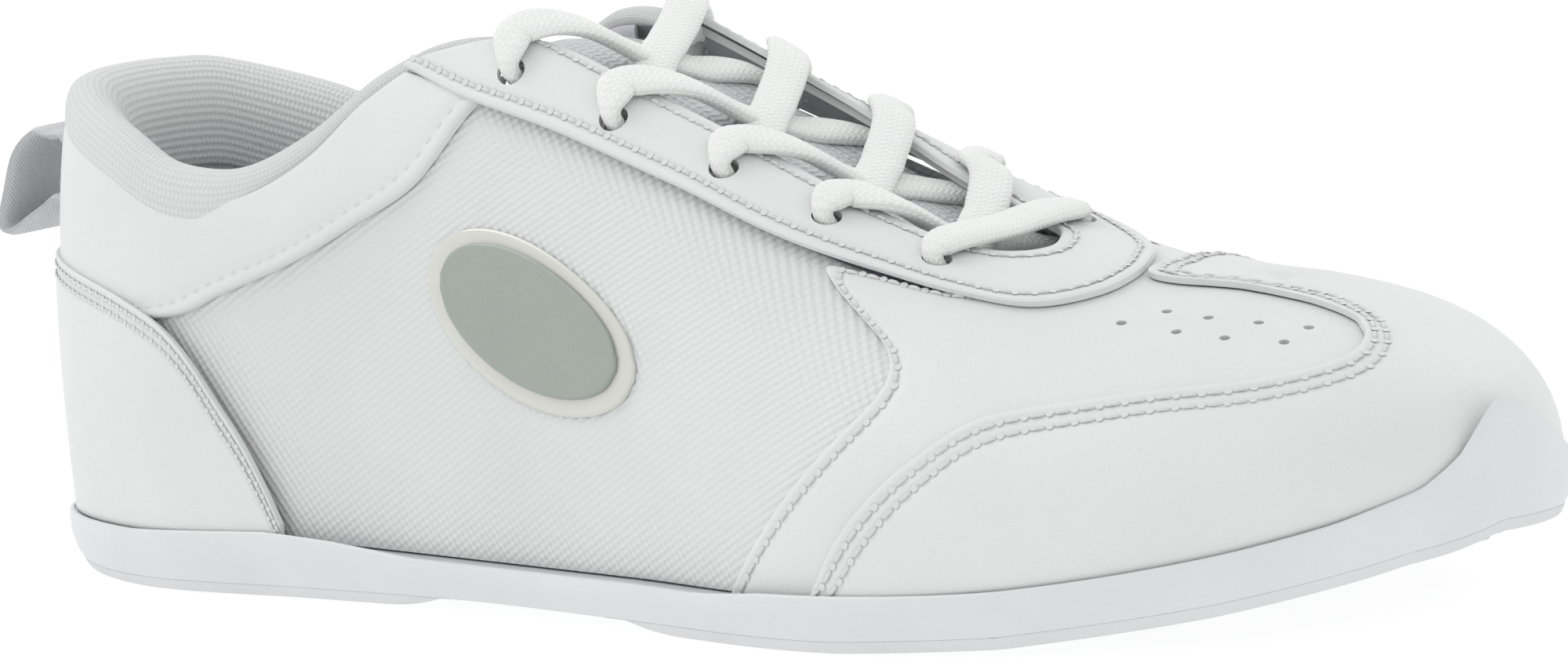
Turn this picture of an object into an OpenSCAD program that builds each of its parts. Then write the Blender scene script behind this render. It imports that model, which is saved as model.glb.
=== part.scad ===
// Low-cut cheer shoe for the right foot, in mm.
// The toe points along +X, the outer side faces -Y, the ground is z = 0, and the origin is on the ground
// under the middle of the shoe. The shapes are drawn from the heel at x = 0 and moved there by home.

/* [Overall size] */
// Length of the shoe body from heel to toe
body_length = 265; // [220:1:320]
// Width of the shoe body across the ball
body_width = 90; // [74:1:110]
// Height of the shoe body, as a share of the drawn one
body_rise = 1; // [0.85:0.01:1.2]

/* [Layers] */
// Thickness of each outer panel
skin = 1.2; // [0.9:0.02:1.5]
// Space between one layer and the next
gap = 0.3; // [0.3:0.1:0.4]

/* [Sole] */
// How far the sole stands out past the panels
sole_lip = 1.1; // [0.5:0.1:2.5]
// Thickness of the two ground pads
pad_thick = 2; // [1.5:0.1:2.5]
// Thickness of the removable footbed
footbed_thick = 4; // [3:0.1:5]

/* [Collar and tongue] */
// Depth of the collar padding at the heel
collar_pad = 6; // [4:0.1:7.4]
// Thickness of the tongue padding
tongue_pad = 2.4; // [1.5:0.1:3.5]

/* [Lacing] */
// Diameter of the eyelets
eyelet_d = 4.6; // [3.8:0.1:5.6]
// Width of the flat lace between the eyelets
lace_width = 6; // [4:0.1:7.2]
// Thickness of the flat lace
lace_thick = 2.4; // [1.6:0.1:3]

/* [Pull loop] */
// Width of the loop's band
loop_width = 18; // [12:1:20]
// Thickness of the loop's band
loop_thick = 1.6; // [1.2:0.1:2]

/* [Vent holes] */
// Diameter of the vent holes over the toes
vent_d = 1.6; // [1:0.1:2.2]

/* [Hidden] */
kx = body_length / 265;
ky = body_width / 90;
kz = body_rise;
// Stations along the last: x, outer half width, inner half width, feather height,
// ridge y, ridge height, fullness, belly
STATIONS = [
  [0, 0, 0, 10, 0, 112, 2.3, 0.05],
  [9, 20, 20, 10, 0, 112, 2.3, 0.05],
  [34, 32, 31, 10, 0, 111, 2.3, 0.04],
  [70, 33, 32, 9, 0, 107, 2.4, 0.02],
  [106, 35, 32, 8, 1, 95, 2.3, 0.02],
  [142, 41, 36, 8, 3, 77, 2.1, 0.01],
  [178, 47, 43, 8, 8, 58, 2.1, 0],
  [212, 43, 45, 10, 14, 46, 2.2, 0],
  [241, 31, 40, 14, 17, 43, 2.3, 0],
  [260, 12, 26, 19, 18, 42, 2.3, 0],
  [265, -4, 4, 21, 17, 42, 2.2, 0]
];
ST = [for (r = STATIONS) [r[0] * kx, r[1] * ky, r[2] * ky, r[3], r[4] * ky, r[3] + (r[5] - r[3]) * kz,
      r[6], r[7]]];
N = 10;
spine_heel = 30 * kx;
spine_toe = 221 * kx;
step = skin + gap;
top_d = 3.1;
home = [7.6 - 132.6 * kx, 1 * ky, 0];
// Depth just inside the innermost outer panel
inside = top_d - 3 * step;

// Smooth curve through four neighbouring values
function cr(a, b, c, d, t) =
  0.5 * (2 * b + (c - a) * t + (2 * a - 5 * b + 4 * c - d) * t * t + (3 * b - a - 3 * c + d) * t * t * t);
function swap(r) = [r[0], -r[2], -r[1], r[3], r[4], r[5], r[6], r[7]];
function row(i) = i < 0 ? swap(ST[-i]) : i > N ? swap(ST[2 * N - i]) : ST[i];
function station(t) =
  let (i = min(floor(t), N - 1))
  cr(row(i - 1), row(i), row(i + 1), row(i + 2), t - i);
// Where the ridge stands for a point on the outline at this x
function spine(x) =
  let (h = 2 * spine_heel, b = 2 * spine_toe - body_length, u = (h - x) / h,
      v = (x - b) / (body_length - b))
  x < h ? h - spine_heel * (2 * u - u * u) :
  x > b ? b + (spine_toe - b) * (2 * v - v * v) : x;

// How far the throat sinks below the ridge, between the two rows of eyelets
function throat(t, q) =
  let (u = min(max((q - 58) / 26, 0), 1))
  lookup(t, [[3.2, 0], [3.7, 5.5], [4.15, 7], [4.7, 6.5], [5.2, 6], [5.7, 5], [6.2, 4], [6.45, 2.6],
      [6.75, 1], [7, 0]])
  * kz * u * u * (3 - 2 * u);

// A point on the shoe body. s runs from the heel (0) along the outer side to the toe (N) and back
// along the inner side; p is 0 at the feather edge and 90 at the ridge; d is the distance outward.
function body(s, p, d = 0) =
  let (
    inner0 = s < 0 || s > N,
    t = s < 0 ? -s : s > N ? 2 * N - s : s,
    r = station(t),
    q = p > 90 ? 180 - p : p,
    inner = p > 90 ? !inner0 : inner0,
    c = [spine(r[0]), r[4]],
    v = [r[0], inner ? r[2] : -r[1]] - c,
    l = norm(v),
    g = pow(cos(q), 2 / r[6]) * (1 + r[7] * sin(2 * q)),
    w = c + v / l * (l + d) * g
  ) [w[0], w[1], r[3] + (r[5] + d - r[3]) * pow(sin(q), 2 / r[6]) - throat(t, q)];

// A point along a list of values, a from 0 to 1
function along(list, a) =
  let (n = len(list) - 1, t = a * n, i = min(floor(t), n - 1))
  cr(i > 0 ? list[i - 1] : 2 * list[0] - list[1], list[i], list[i + 1],
     i + 2 <= n ? list[i + 2] : 2 * list[n] - list[n - 1], t - i);
function flip(list) = [for (q = list) [-q[0], q[1]]];

// Closed solid through rings of points; the ends are closed by strips between the two halves
module loft(rings) {
  m = len(rings[0]);
  k = len(rings);
  pts = [for (r = rings) each r];
  wall = [for (a = [0:k - 2]) for (i = [0:m - 1]) let (j = (i + 1) % m)
    each [[a * m + i, a * m + j, (a + 1) * m + j], [a * m + i, (a + 1) * m + j, (a + 1) * m + i]]];
  e = (k - 1) * m;
  caps = [for (i = [0:m / 2 - 2])
    each [[i + 1, i, m - 1 - i], [i + 1, m - 1 - i, m - 2 - i],
          [e + i, e + i + 1, e + m - 1 - i], [e + i + 1, e + m - 2 - i, e + m - 1 - i]]];
  f = concat(wall, caps);
  vol = [for (t = f) pts[t[0]] * cross(pts[t[1]], pts[t[2]])] * [for (t = f) 1];
  translate(home)
  polyhedron(pts, vol > 0 ? [for (t = f) [t[2], t[1], t[0]]] : f);
}

// A panel on the body between a lower and an upper edge, from depth d0 out to d1
module panel(lo, up, n, m, d0, d1) {
  loft([for (i = [0:n])
    let (a = along(lo, i / n), b = along(up, i / n), q = [for (j = [0:m]) a + (b - a) * j / m])
    concat([for (j = [0:m]) body(q[j][0], q[j][1], d1)],
           [for (j = [m:-1:0]) body(q[j][0], q[j][1], d0)])]);
}
module layer(lo, up, n, m, k, t = skin) {
  panel(lo, up, n, m, top_d - k * step - t, top_d - k * step);
}

// A point on the outline at height z, e outside the feather edge
function edge(s, e, z) = let (w = body(s, 0, e)) [w[0], w[1], z];
function feather(s) = body(s, 0)[2];
// Height of the sole's underside
function under(s) =
  lookup(s < 0 ? -s : s > N ? 2 * N - s : s, [[0, 0], [6.2, 0], [7, 1.2], [8, 5], [9, 9.5], [10, 11.5]]);
// How far the sole's lip climbs above the feather edge
function lip(s) = let (t = s < 0 ? -s : s > N ? 2 * N - s : s)
  lookup(t, [[0, -0.3], [2, 0], [2.8, 1.6], [3.2, 1.2], [3.8, -0.3], [5.4, -0.3], [5.9, 1], [6.4, 0.6],
             [7, 0], [8.6, 0], [9.1, 1.2], [9.45, 4], [9.7, 7.6], [9.85, 9.6], [10, 10.4]]);

// --- sole ---
module midsole() {
  color("white")
  loft([for (k = [0:7]) [for (i = [0:63]) let (
      s = (i + 0.5) * 2 * N / 64, u = under(s), f = feather(s) - gap, l = max(lip(s), 0) + 0.4,
      out = top_d + sole_lip)
    k == 0 ? edge(s, -4, u + pad_thick + gap) :
    k == 1 ? edge(s, out - 3.5, u + pad_thick + gap) :
    k == 2 ? edge(s, out - 0.8, u + pad_thick + 1.8) :
    k == 3 ? edge(s, out, (u + pad_thick + f) / 2 + 1) :
    k == 4 ? edge(s, out, f) :
    k == 5 ? edge(s, out - 0.2, f + l) :
    k == 6 ? edge(s, top_d + 0.35, f + l) :
             edge(s, top_d + 0.3, f)]]);
}
// A ground pad around station c, reaching r stations to each side
module pad(c, r, n) {
  loft([for (k = [[-2.6, 0, 0.97], [0.8, 0, 1], [2.2, 0.8, 1.01], [2.4, pad_thick, 1],
      [-2.6, pad_thick, 0.97]])
    [for (i = [0:n]) let (s = c + r * k[2] * (2 * i / n - 1)) edge(s, k[0], under(s) + k[1])]]);
}
module outsole_heel() {
  color("gainsboro")
  pad(0, 3.85, 27);
}
module outsole_forefoot() {
  color("gainsboro")
  pad(N, 5.1, 39);
}
board_e = top_d - 4 * step - skin - 0.8;
// A flat layer inside the shoe around station c, reaching r stations to each side
module slab(c, r, n, e, z0, z1) {
  loft([for (k = [[z0, 0.98, 3], [z0, 1, 0], [z1, 1, 0], [z1, 0.98, 3]])
    [for (i = [0:n]) let (s = c + r * k[1] * (2 * i / n - 1)) edge(s, e - k[2], feather(s) + k[0])]]);
}
module insole_board() {
  color("tan")
  slab(N, 9.92, 61, board_e, 0.3, 1.9);
}
// The footbed bends at the ball, where its heel part is hinged
module sockliner_front() {
  color("whitesmoke")
  slab(N, 4.55, 37, board_e - 0.4, 2.2, 2.2 + footbed_thick);
}
module sockliner_heel() {
  color("whitesmoke")
  slab(0, 5.38, 43, board_e - 0.6, 2.25, 2.2 + footbed_thick);
}

// --- panels ---
HEEL_LO = [[-2.88, 0], [-2.6, 0], [-2.2, 0], [-1.4, 0], [0, 0], [1.4, 0], [2.2, 0], [2.6, 0], [2.88, 0]];
HEEL_UP = [[-2.88, 0.8], [-2.62, 8], [-2.2, 16.3], [-1.4, 19.8], [0, 21], [1.4, 19.8], [2.2, 16.3],
           [2.62, 8],
           [2.88, 0.8]];
module heel_cover() {
  color("white")
  layer(HEEL_LO, HEEL_UP, 40, 6, 0);
}
QUARTER_LO = [[0.12, 0], [1.1, 0], [2, 0], [2.7, 0], [3.2, 0], [3.7, 0], [4.2, 0], [4.8, 0], [5.3, 0],
              [5.9, 0]];
QUARTER_UP = [[0.12, 24], [1.2, 22], [2.2, 19.5], [2.8, 23.5], [3.4, 32], [3.95, 49.6], [4.6, 53.5],
              [5.4, 56],
              [6.1, 59], [6.8, 62]];
module quarter_lateral() {
  color("whitesmoke")
  layer(QUARTER_LO, QUARTER_UP, 36, 9, 2);
}
module quarter_medial() {
  color("whitesmoke")
  layer(flip(QUARTER_LO), flip(QUARTER_UP), 36, 9, 2);
}
COLLAR_LO = [[0.12, 17], [1.2, 16.8], [2.2, 16.3], [2.6, 18.7], [3, 22.3], [3.35, 27.5], [3.72, 35.5],
             [4.0, 50]];
COLLAR_UP = [[0.12, 37], [1.0, 36], [1.8, 32], [2.3, 28], [2.7, 28], [3.1, 33.5], [3.4, 42.5], [3.6, 48.7]];
module collar_panel_lateral() {
  color("white")
  layer(COLLAR_LO, COLLAR_UP, 26, 6, 1);
}
module collar_panel_medial() {
  color("white")
  layer(flip(COLLAR_LO), flip(COLLAR_UP), 26, 6, 1);
}
STAY_OUT = [[3.6, 49], [3.98, 48.5], [4.5, 51], [5, 53], [5.5, 54.5], [6, 57.5], [6.4, 59.5], [6.75, 62.8],
            [6.97, 71], [7.02, 78], [6.97, 85], [6.75, 95], [6.4, 109], [6, 120], [5.5, 124], [5, 127],
            [4.5, 129], [3.98, 131.5], [3.6, 131]];
STAY_IN = [[4.25, 64.5], [4.4, 66.2], [4.7, 68], [5.1, 70], [5.5, 71.5], [5.85, 72.4], [6.1, 73],
           [6.28, 75],
           [6.38, 78.5], [6.42, 83], [6.38, 87], [6.28, 91], [6.1, 95.5], [5.85, 99.5], [5.5, 104.5],
           [5.1, 111], [4.7, 114.5], [4.4, 116.5], [4.25, 117]];
EYES = [[4.15, 55.5], [4.68, 57.5], [5.22, 60], [5.7, 62.5], [6.2, 65]];
EYES_IN = [[4.15, 125], [4.68, 123], [5.22, 119.5], [5.7, 113.5], [6.2, 105]];
module drill(q, r) {
  a = body(q[0], q[1], 0);
  b = body(q[0], q[1], 1) - a;
  n = cross(body(q[0] + 0.1, q[1]) - body(q[0] - 0.1, q[1]), body(q[0], q[1] + 2) - body(q[0], q[1] - 2));
  v = n / norm(n) * (n * b > 0 ? 1 : -1);
  translate(home + a)
  rotate([0, acos(v[2]), atan2(v[1], v[0])])
  translate([0, 0, -12])
  cylinder(h = 24, r = r, $fn = 24);
}
module eyestay() {
  color("white")
  difference() {
    layer(STAY_OUT, STAY_IN, 54, 4, 0);
    for (q = concat(EYES, EYES_IN)) drill(q, eyelet_d / 2);
  }
}
// Reinforcement behind each eyelet row
BACK_OUT = [[4.02, 50.5], [4.5, 52.5], [5, 54.5], [5.5, 56], [6, 59.3], [6.33, 61]];
BACK_IN = [[4.22, 62.5], [4.7, 66.5], [5.1, 68.7], [5.5, 70], [5.85, 71], [6.1, 71.5]];
BACK_OUT_IN = [[4.02, 129.5], [4.5, 127.5], [5, 125.5], [5.5, 122.5], [6, 117.5], [6.28, 111]];
BACK_IN_IN = [[4.22, 118.5], [4.7, 116], [5.1, 112.5], [5.5, 106.5], [5.85, 101], [6.08, 98]];
module eyestay_backer_lateral() {
  color("silver")
  difference() {
    layer(BACK_OUT, BACK_IN, 24, 4, 1);
    for (q = EYES) drill(q, eyelet_d / 2);
  }
}
module eyestay_backer_medial() {
  color("silver")
  difference() {
    layer(BACK_OUT_IN, BACK_IN_IN, 24, 4, 1);
    for (q = EYES_IN) drill(q, eyelet_d / 2);
  }
}
VAMP_LO = [[5.66, 0], [5.93, 13], [6.16, 25], [6.3, 34], [6.32, 40], [6.24, 45], [6.06, 49], [5.88, 52.5],
           [5.82, 55], [5.98, 56.8], [6.3, 59], [6.47, 63], [6.55, 72], [6.6, 83], [6.56, 92], [6.48, 103],
           [6.42, 112], [6.22, 118], [5.96, 121.5], [5.82, 124.5], [5.88, 127.5], [6.06, 131], [6.24, 135],
           [6.3, 144], [6.2, 155], [5.95, 167], [5.66, 180]];
VAMP_UP = [[6.45, 0], [6.62, 11], [6.9, 22], [7.4, 32], [8.4, 38], [9.1, 43], [9.35, 51], [9.42, 58],
           [9.35, 67],
           [9.1, 76], [8.5, 86], [7.7, 89], [7.3, 97], [7.25, 112], [7.2, 128], [7.0, 146], [6.7, 166],
           [6.45, 180]];
VENTS = [[7.24, 64.5], [7.63, 62.5], [8.0, 60], [8.45, 57], [7.45, 70.5], [7.8, 68.5], [8.25, 66.5],
         [8.7, 62.5]];
module vamp() {
  color("white")
  difference() {
    layer(VAMP_LO, VAMP_UP, 44, 6, 1);
    for (q = VENTS) drill(q, vent_d / 2);
  }
}

// Finds the body position under a plan point at the toe, for the side it lies on
function spine_at(t) = let (r = station(t)) [spine(r[0]), r[4]];
function seek(q, side, lo, hi, n) =
  let (t = (lo + hi) / 2)
  n == 0 ? t :
  let (r = station(t), c = [spine(r[0]), r[4]], v = [r[0], side > 0 ? r[2] : -r[1]] - c, w = q - c,
       f = -side * (v[0] * w[1] - v[1] * w[0]))
  f > 0 ? seek(q, side, t, hi, n - 1) : seek(q, side, lo, t, n - 1);
function plan(q) =
  let (
    c0 = spine_at(N), r0 = station(N), v0 = [r0[0], r0[2]] - c0, w0 = q - c0,
    yr = lookup(q[0] / kx, [[142, 3], [178, 8], [206, 14], [218, 17], [221, 17]]) * ky,
    side = q[0] > c0[0] ? (v0[0] * w0[1] - v0[1] * w0[0] > 0 ? 1 : -1) : (q[1] > yr ? 1 : -1),
    t = seek(q, side, 5, N, 22),
    r = station(t), c = [spine(r[0]), r[4]], v = [r[0], side > 0 ? r[2] : -r[1]] - c,
    g = max(min((q - c) * v / (v * v), 1), 0)
  ) [side > 0 ? 2 * N - t : t, acos(pow(g, r[6] / 2))];
GUARD_LO = [6.13, 6.5, 6.9, 7.3, 7.9, 8.5, 9.1, 9.6, 9.9, 10.15, 10.45, 10.8, 11.2, 11.8, 12.3, 12.6,
            12.8, 13,
            13.15, 13.4, 13.6, 13.87];
GUARD_UP = [[6.16, 1.5], [6.31, 11], [6.6, 24.5], [6.93, 35.5], [7.55, 41], [8.2, 42.2], [8.8, 45.5],
            [9.15, 53], [9.25, 58], [9.3, 62.5], [9.15, 70], [8.85, 77], [8.3, 82.5], [7.6, 83.5],
            [7.08, 82],
            [7.04, 90], [7.02, 100], [7, 120], [6.93, 144.5], [6.6, 155.5], [6.31, 169], [6.16, 178.5]];
function guard_column(a, m) =
  let (
    f = along([for (x = GUARD_LO) [x, 0]], a)[0],
    w = along(GUARD_UP, a),
    near = w[1] < 44 && f < 9,
    far = w[1] > 143,
    wp = body(w[0], w[1]),
    fp = body(f, 0),
    turn = f < N ? w[1] : max(180 - w[1], 60)
  )
  [for (j = [0:m]) let (b = j / m, c = (1 - cos(turn * b)) / (1 - cos(turn)))
    near ? [f + (w[0] - f) * b, w[1] * b] :
    far ? [f + (2 * N - w[0] - f) * b, (180 - w[1]) * b] :
    j == 0 ? [f, 0] :
    j == m ? w :
    plan([fp[0] + (wp[0] - fp[0]) * c, fp[1] + (wp[1] - fp[1]) * c])];
module toe_guard() {
  color("white")
  loft([for (i = [0:62]) let (q = guard_column(i / 62, 8))
    concat([for (j = [0:8]) body(q[j][0], q[j][1], top_d)],
           [for (j = [8:-1:0]) body(q[j][0], q[j][1], top_d - skin)])]);
}
module toe_puff() {
  color("lightgray")
  layer([[7.3, 0], [8.5, 0], [10, 0], [11.5, 0], [12.7, 0]], [[7.5, 30], [8.6, 48], [10, 55], [11.4, 48],
      [12.5, 30]],
        36, 5, 2);
}
module heel_counter() {
  color("lightgray")
  layer([[-3.1, 0], [-1.5, 0], [0, 0], [1.5, 0], [3.1, 0]], [[-3, 5], [-1.7, 13.5], [0, 20], [1.7, 13.5],
      [3, 5]], 30, 5, 3);
}
LINING_LO = [[4.02, 0], [5, 0], [6, 0], [7, 0], [8, 0], [9, 0], [9.95, 0]];
LINING_UP = [[4.02, 46], [5, 50], [6, 54], [7, 60], [8, 62], [9, 60], [9.9, 58]];
module lining_lateral() {
  color("lavender")
  layer(LINING_LO, LINING_UP, 30, 6, 3);
}
module lining_medial() {
  color("lavender")
  layer(flip(LINING_LO), flip(LINING_UP), 30, 6, 3);
}

// --- collar ---
// The collar's edge, as p for each s
function rim(s) = lookup(abs(s), [[0, 37], [1, 36], [1.8, 32], [2.3, 28], [2.7, 28], [3.1, 33.5],
    [3.45, 43.8],
                                  [3.6, 48.3], [3.75, 52.7], [4, 58.5], [4.25, 64]]);
function fat(s) = collar_pad / 6 * lookup(abs(s), [[0, 1], [2.4, 0.9], [3, 0.7], [3.6, 0.45], [3.95, 0.4]]);
// t is the depth inside the panels
function sunk(s, p, t) = body(s, p, inside - t * fat(s));
COLLAR_END = 3.9;
module collar_foam() {
  color("khaki")
  loft([for (i = [0:44]) let (s = -COLLAR_END + 2 * COLLAR_END * i / 44, e = rim(s), b = e - 15)
    [sunk(s, b, 0.3), sunk(s, b + 4, 0.2), sunk(s, e - 6, 0.1), sunk(s, e - 1.5, 0), sunk(s, e + 1.6, 0.3),
     sunk(s, e + 1.6, 2.6), sunk(s, e - 1.5, 5.4), sunk(s, e - 6, 5.6), sunk(s, b + 4, 3.6),
     sunk(s, b, 1)]]);
}
module collar_lining() {
  color("lavender")
  loft([for (i = [0:44]) let (s = -COLLAR_END + 2 * COLLAR_END * i / 44, e = rim(s), b = e - 15)
    [body(s, 1.5, inside - skin - 2), sunk(s, b - 1.5, 3.4), sunk(s, b + 4, 5.5), sunk(s, e - 6, 7.6),
     sunk(s, e - 1.5, 7.4), sunk(s, e + 2.2, 5.4), sunk(s, e + 3.4, 2.4),
     sunk(s, e + 2.3, 1.9), sunk(s, e + 1.9, 3.5), sunk(s, e - 1.5, 6.2),
     sunk(s, e - 6, 6.4), sunk(s, b + 4, 4.3), sunk(s, b - 1.5, 2.2), body(s, 1.5, inside - skin - 0.8)]]);
}
module topline_binding() {
  color("ghostwhite")
  loft([for (i = [0:50]) let (s = -4.28 + 8.56 * i / 50, e = rim(s))
    [body(s, e + 0.7, inside + 1.9), body(s, e + 2.1, inside + 1.4), sunk(s, e + 2.3, 1.2),
     sunk(s, e + 3.6, 1.3), body(s, e + 3.4, inside + 2.2), body(s, e + 0.7, inside + 3)]]);
}

// --- tongue ---
TONGUE_LO = [[4.06, 66], [4.6, 62.5], [5.3, 62.5], [6, 64], [6.75, 67]];
TONGUE_UP = [[4.06, 114], [4.6, 118], [5.3, 116], [6, 110], [6.75, 103]];
module tongue_face() {
  color("ghostwhite")
  panel(TONGUE_LO, TONGUE_UP, 24, 8, inside - 3.1, inside - 2.1);
}
module tongue_foam() {
  color("khaki")
  panel(TONGUE_LO, TONGUE_UP, 24, 8, inside - 3.1 - gap - tongue_pad, inside - 3.1 - gap);
}
module tongue_lining() {
  color("lavender")
  panel(TONGUE_LO, TONGUE_UP, 24, 8, inside - 4.1 - 2 * gap - tongue_pad,
      inside - 3.1 - 2 * gap - tongue_pad);
}

// Above the top row of lace the tongue leans back into the collar
function tongue_back(s) = inside - lookup(s, [[3.7, 10.6], [3.85, 6.6], [4.0, 3.6]]);
module tongue_top() {
  color("ghostwhite")
  loft([for (i = [0:12]) let (s = 3.7 + 0.3 * i / 12, d = tongue_back(s), h = i == 0 ? 8 : 0)
    concat([for (j = [0:8]) body(s, 73 + h + (34 - 2 * h) * j / 8, d)],
           [for (j = [8:-1:0]) body(s, 73 + h + (34 - 2 * h) * j / 8, d - 2.4 - tongue_pad + h / 4)])]);
}

// --- lace ---
// One lace threaded through every eyelet: s, p, d, width and thickness along its route
hole_w = eyelet_d - 1.6;
function lead(q, k) = [q[0], q[1] + k, top_d + 0.4 + lace_thick / 2, 4.2, lace_thick];
function down(q) = [[q[0], q[1], top_d + 0.45, hole_w - 0.2, hole_w - 0.5],
                    [q[0], q[1], 1, hole_w - 0.2, hole_w - 0.6],
                    [q[0], q[1] + (q[1] < 90 ? 1 : -1), inside + 0.1, hole_w, hole_w - 0.6]];
// From eyelet a, under the edge, across the tongue and over the other edge to eyelet b
function cross_over(a, b, d) =
  let (k = a[1] < 90 ? 1 : -1, m = (a + b) / 2)
  concat(down(a), [
    [a[0] - 0.06, a[1] + k * 7, inside, 4.6, lace_thick],
    [a[0] * 0.72 + b[0] * 0.28, a[1] * 0.72 + b[1] * 0.28, inside + 0.2, lace_width, lace_thick],
    [m[0], m[1], inside + d, lace_width, lace_thick],
    [a[0] * 0.28 + b[0] * 0.72, a[1] * 0.28 + b[1] * 0.72, top_d + (k > 0 ? 0.6 : 0) + lace_thick / 2,
     lace_width, lace_thick],
    [b[0], b[1] - k * 7, top_d + 0.3 + lace_thick / 2, lace_width - 0.4, lace_thick],
    lead(b, -k * 2.6)]);
function tail(q, k) = [[q[0] + 0.05, q[1] - k * 6, inside - 3, 3, 2],
  [q[0] + 0.12, q[1] - k * 14, inside - 5, lace_width, lace_thick],
  [q[0] + 0.25, q[1] - k * 24, inside - 5.6, lace_width, lace_thick],
  [q[0] + 0.5, q[1] - k * 33, inside - 6, 4, 2],
  [q[0] + 0.75, q[1] - k * 38, inside - 6.4, 2.6, 2.4]];
function reverse(v) = [for (i = [len(v) - 1:-1:0]) v[i]];
E = EYES;
F = EYES_IN;
half_a = concat(cross_over(E[4], F[3], 2.7), cross_over(F[3], E[2], 0.2), cross_over(E[2], F[1], 2.7),
                cross_over(F[1], E[0], 0.2), down(E[0]), tail(E[0], 1));
half_b = concat(cross_over(F[4], E[3], 0.2), cross_over(E[3], F[2], 2.7), cross_over(F[2], E[1], 0.2),
                cross_over(E[1], F[0], 2.7), down(F[0]), tail(F[0], -1));
bar = [lead(F[4], -2.6), [6.2, 96, top_d + 0.5 + lace_thick / 2, lace_width, lace_thick],
       [6.2, 85, top_d + lace_thick / 2, lace_width, lace_thick],
       [6.2, 74, top_d + 0.5 + lace_thick / 2, lace_width, lace_thick], lead(E[4], 2.6)];
LACE = concat(reverse(half_b), bar, half_a);
function lace_at(t) = let (q = along(LACE, t)) body(q[0], q[1], q[2]);
module lace() {
  color("white")
  loft([for (i = [0:len(LACE) * 1.5]) let (
      n = floor(len(LACE) * 1.5), a = i / n, q = along(LACE, a), c = body(q[0], q[1], q[2]),
      v = lace_at(min(a + 0.002, 1)) - lace_at(max(a - 0.002, 0)), u = v / norm(v),
      w0 = body(q[0] + 0.05, q[1], q[2]) - body(q[0] - 0.05, q[1], q[2]),
      w1 = w0 - u * (u * w0), w = w1 / norm(w1), h = cross(u, w))
    [for (k = [0:7]) c + w * q[3] / 2 * cos(45 * k + 22.5) + h * q[4] / 2 * sin(45 * k + 22.5)]]);
}
module aglet(q) {
  a = lace_at(q);
  b = lace_at(q == 0 ? 0.004 : 0.996);
  v = (a - b) / norm(a - b);
  color("silver")
  translate(home + a + v * 0.4)
  rotate([0, acos(v[2]), atan2(v[1], v[0])])
  cylinder(h = 9, d = 2.6, $fn = 16);
}
module aglet_lateral() {
  aglet(1);
}
module aglet_medial() {
  aglet(0);
}

// --- pull loop ---
module pull_loop_root() {
  r = 0.45 * loop_width / 18;
  color("gainsboro")
  layer([[-r, 22.5], [0, 22.5], [r, 22.5]], [[-r, 35], [0, 35], [r, 35]], 8, 4, 0);
}
LOOP = [[0, 3.5], [-3.5, 4], [-8, 0.5], [-11, -6], [-12.8, -11], [-11, -12.6], [-6.5, -10.4],
        [-2.5, -8.4], [0, -7]];
function tear(o) = [for (i = [0:20]) let (t = i / 20, c = along(LOOP, t),
    g = along(LOOP, min(t + 0.01, 1)) - along(LOOP, max(t - 0.01, 0)),
        n = [-g[1], g[0]] / norm(g)) c + n * o];
module pull_loop() {
  color("gainsboro")
  translate(home + [-5.4, loop_width / 2, 10 + 56 * kz])
  rotate([90, 0, 0])
  linear_extrude(loop_width)
  polygon(concat(tear(-loop_thick / 2), reverse(tear(loop_thick / 2))));
}

// --- side badge, a plain oval ---
function oval(w, h, k) = [for (i = [0:8]) let (t = 6 + 168 * i / 8)
  [4.42 - w * cos(t), 25 + k * h * sin(t)]];
module badge(side, w, h, d0, d1) {
  panel(side > 0 ? oval(w, h, -1) : flip(oval(w, h, -1)), side > 0 ? oval(w, h, 1) : flip(oval(w, h, 1)),
      20, 4, d0, d1);
}
quarter_d = top_d - 2 * step;
module badge_base_lateral() {
  color("beige")
  badge(1, 0.62, 9.5, quarter_d + 0.3, quarter_d + 0.8);
}
module badge_inlay_lateral() {
  color("darkseagreen")
  badge(1, 0.53, 7.6, quarter_d + 1.1, quarter_d + 1.6);
}
module badge_base_medial() {
  color("beige")
  badge(-1, 0.62, 9.5, quarter_d + 0.3, quarter_d + 0.8);
}
module badge_inlay_medial() {
  color("darkseagreen")
  badge(-1, 0.53, 7.6, quarter_d + 1.1, quarter_d + 1.6);
}

midsole();
outsole_heel();
outsole_forefoot();
insole_board();
sockliner_front();
sockliner_heel();
heel_cover();
quarter_lateral();
quarter_medial();
collar_panel_lateral();
collar_panel_medial();
eyestay();
eyestay_backer_lateral();
eyestay_backer_medial();
vamp();
toe_guard();
toe_puff();
heel_counter();
lining_lateral();
lining_medial();
collar_foam();
collar_lining();
topline_binding();
tongue_face();
tongue_foam();
tongue_lining();
tongue_top();
lace();
aglet_lateral();
aglet_medial();
pull_loop_root();
pull_loop();
badge_base_lateral();
badge_inlay_lateral();
badge_base_medial();
badge_inlay_medial();
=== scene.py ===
"""Cut, stitch and lace a low-cut cheer shoe over its solid parts, then light it in a plain studio."""

import math

import bpy
import numpy as np
from bpy.props import FloatProperty, FloatVectorProperty, PointerProperty
from mathutils import Matrix, Vector


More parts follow.
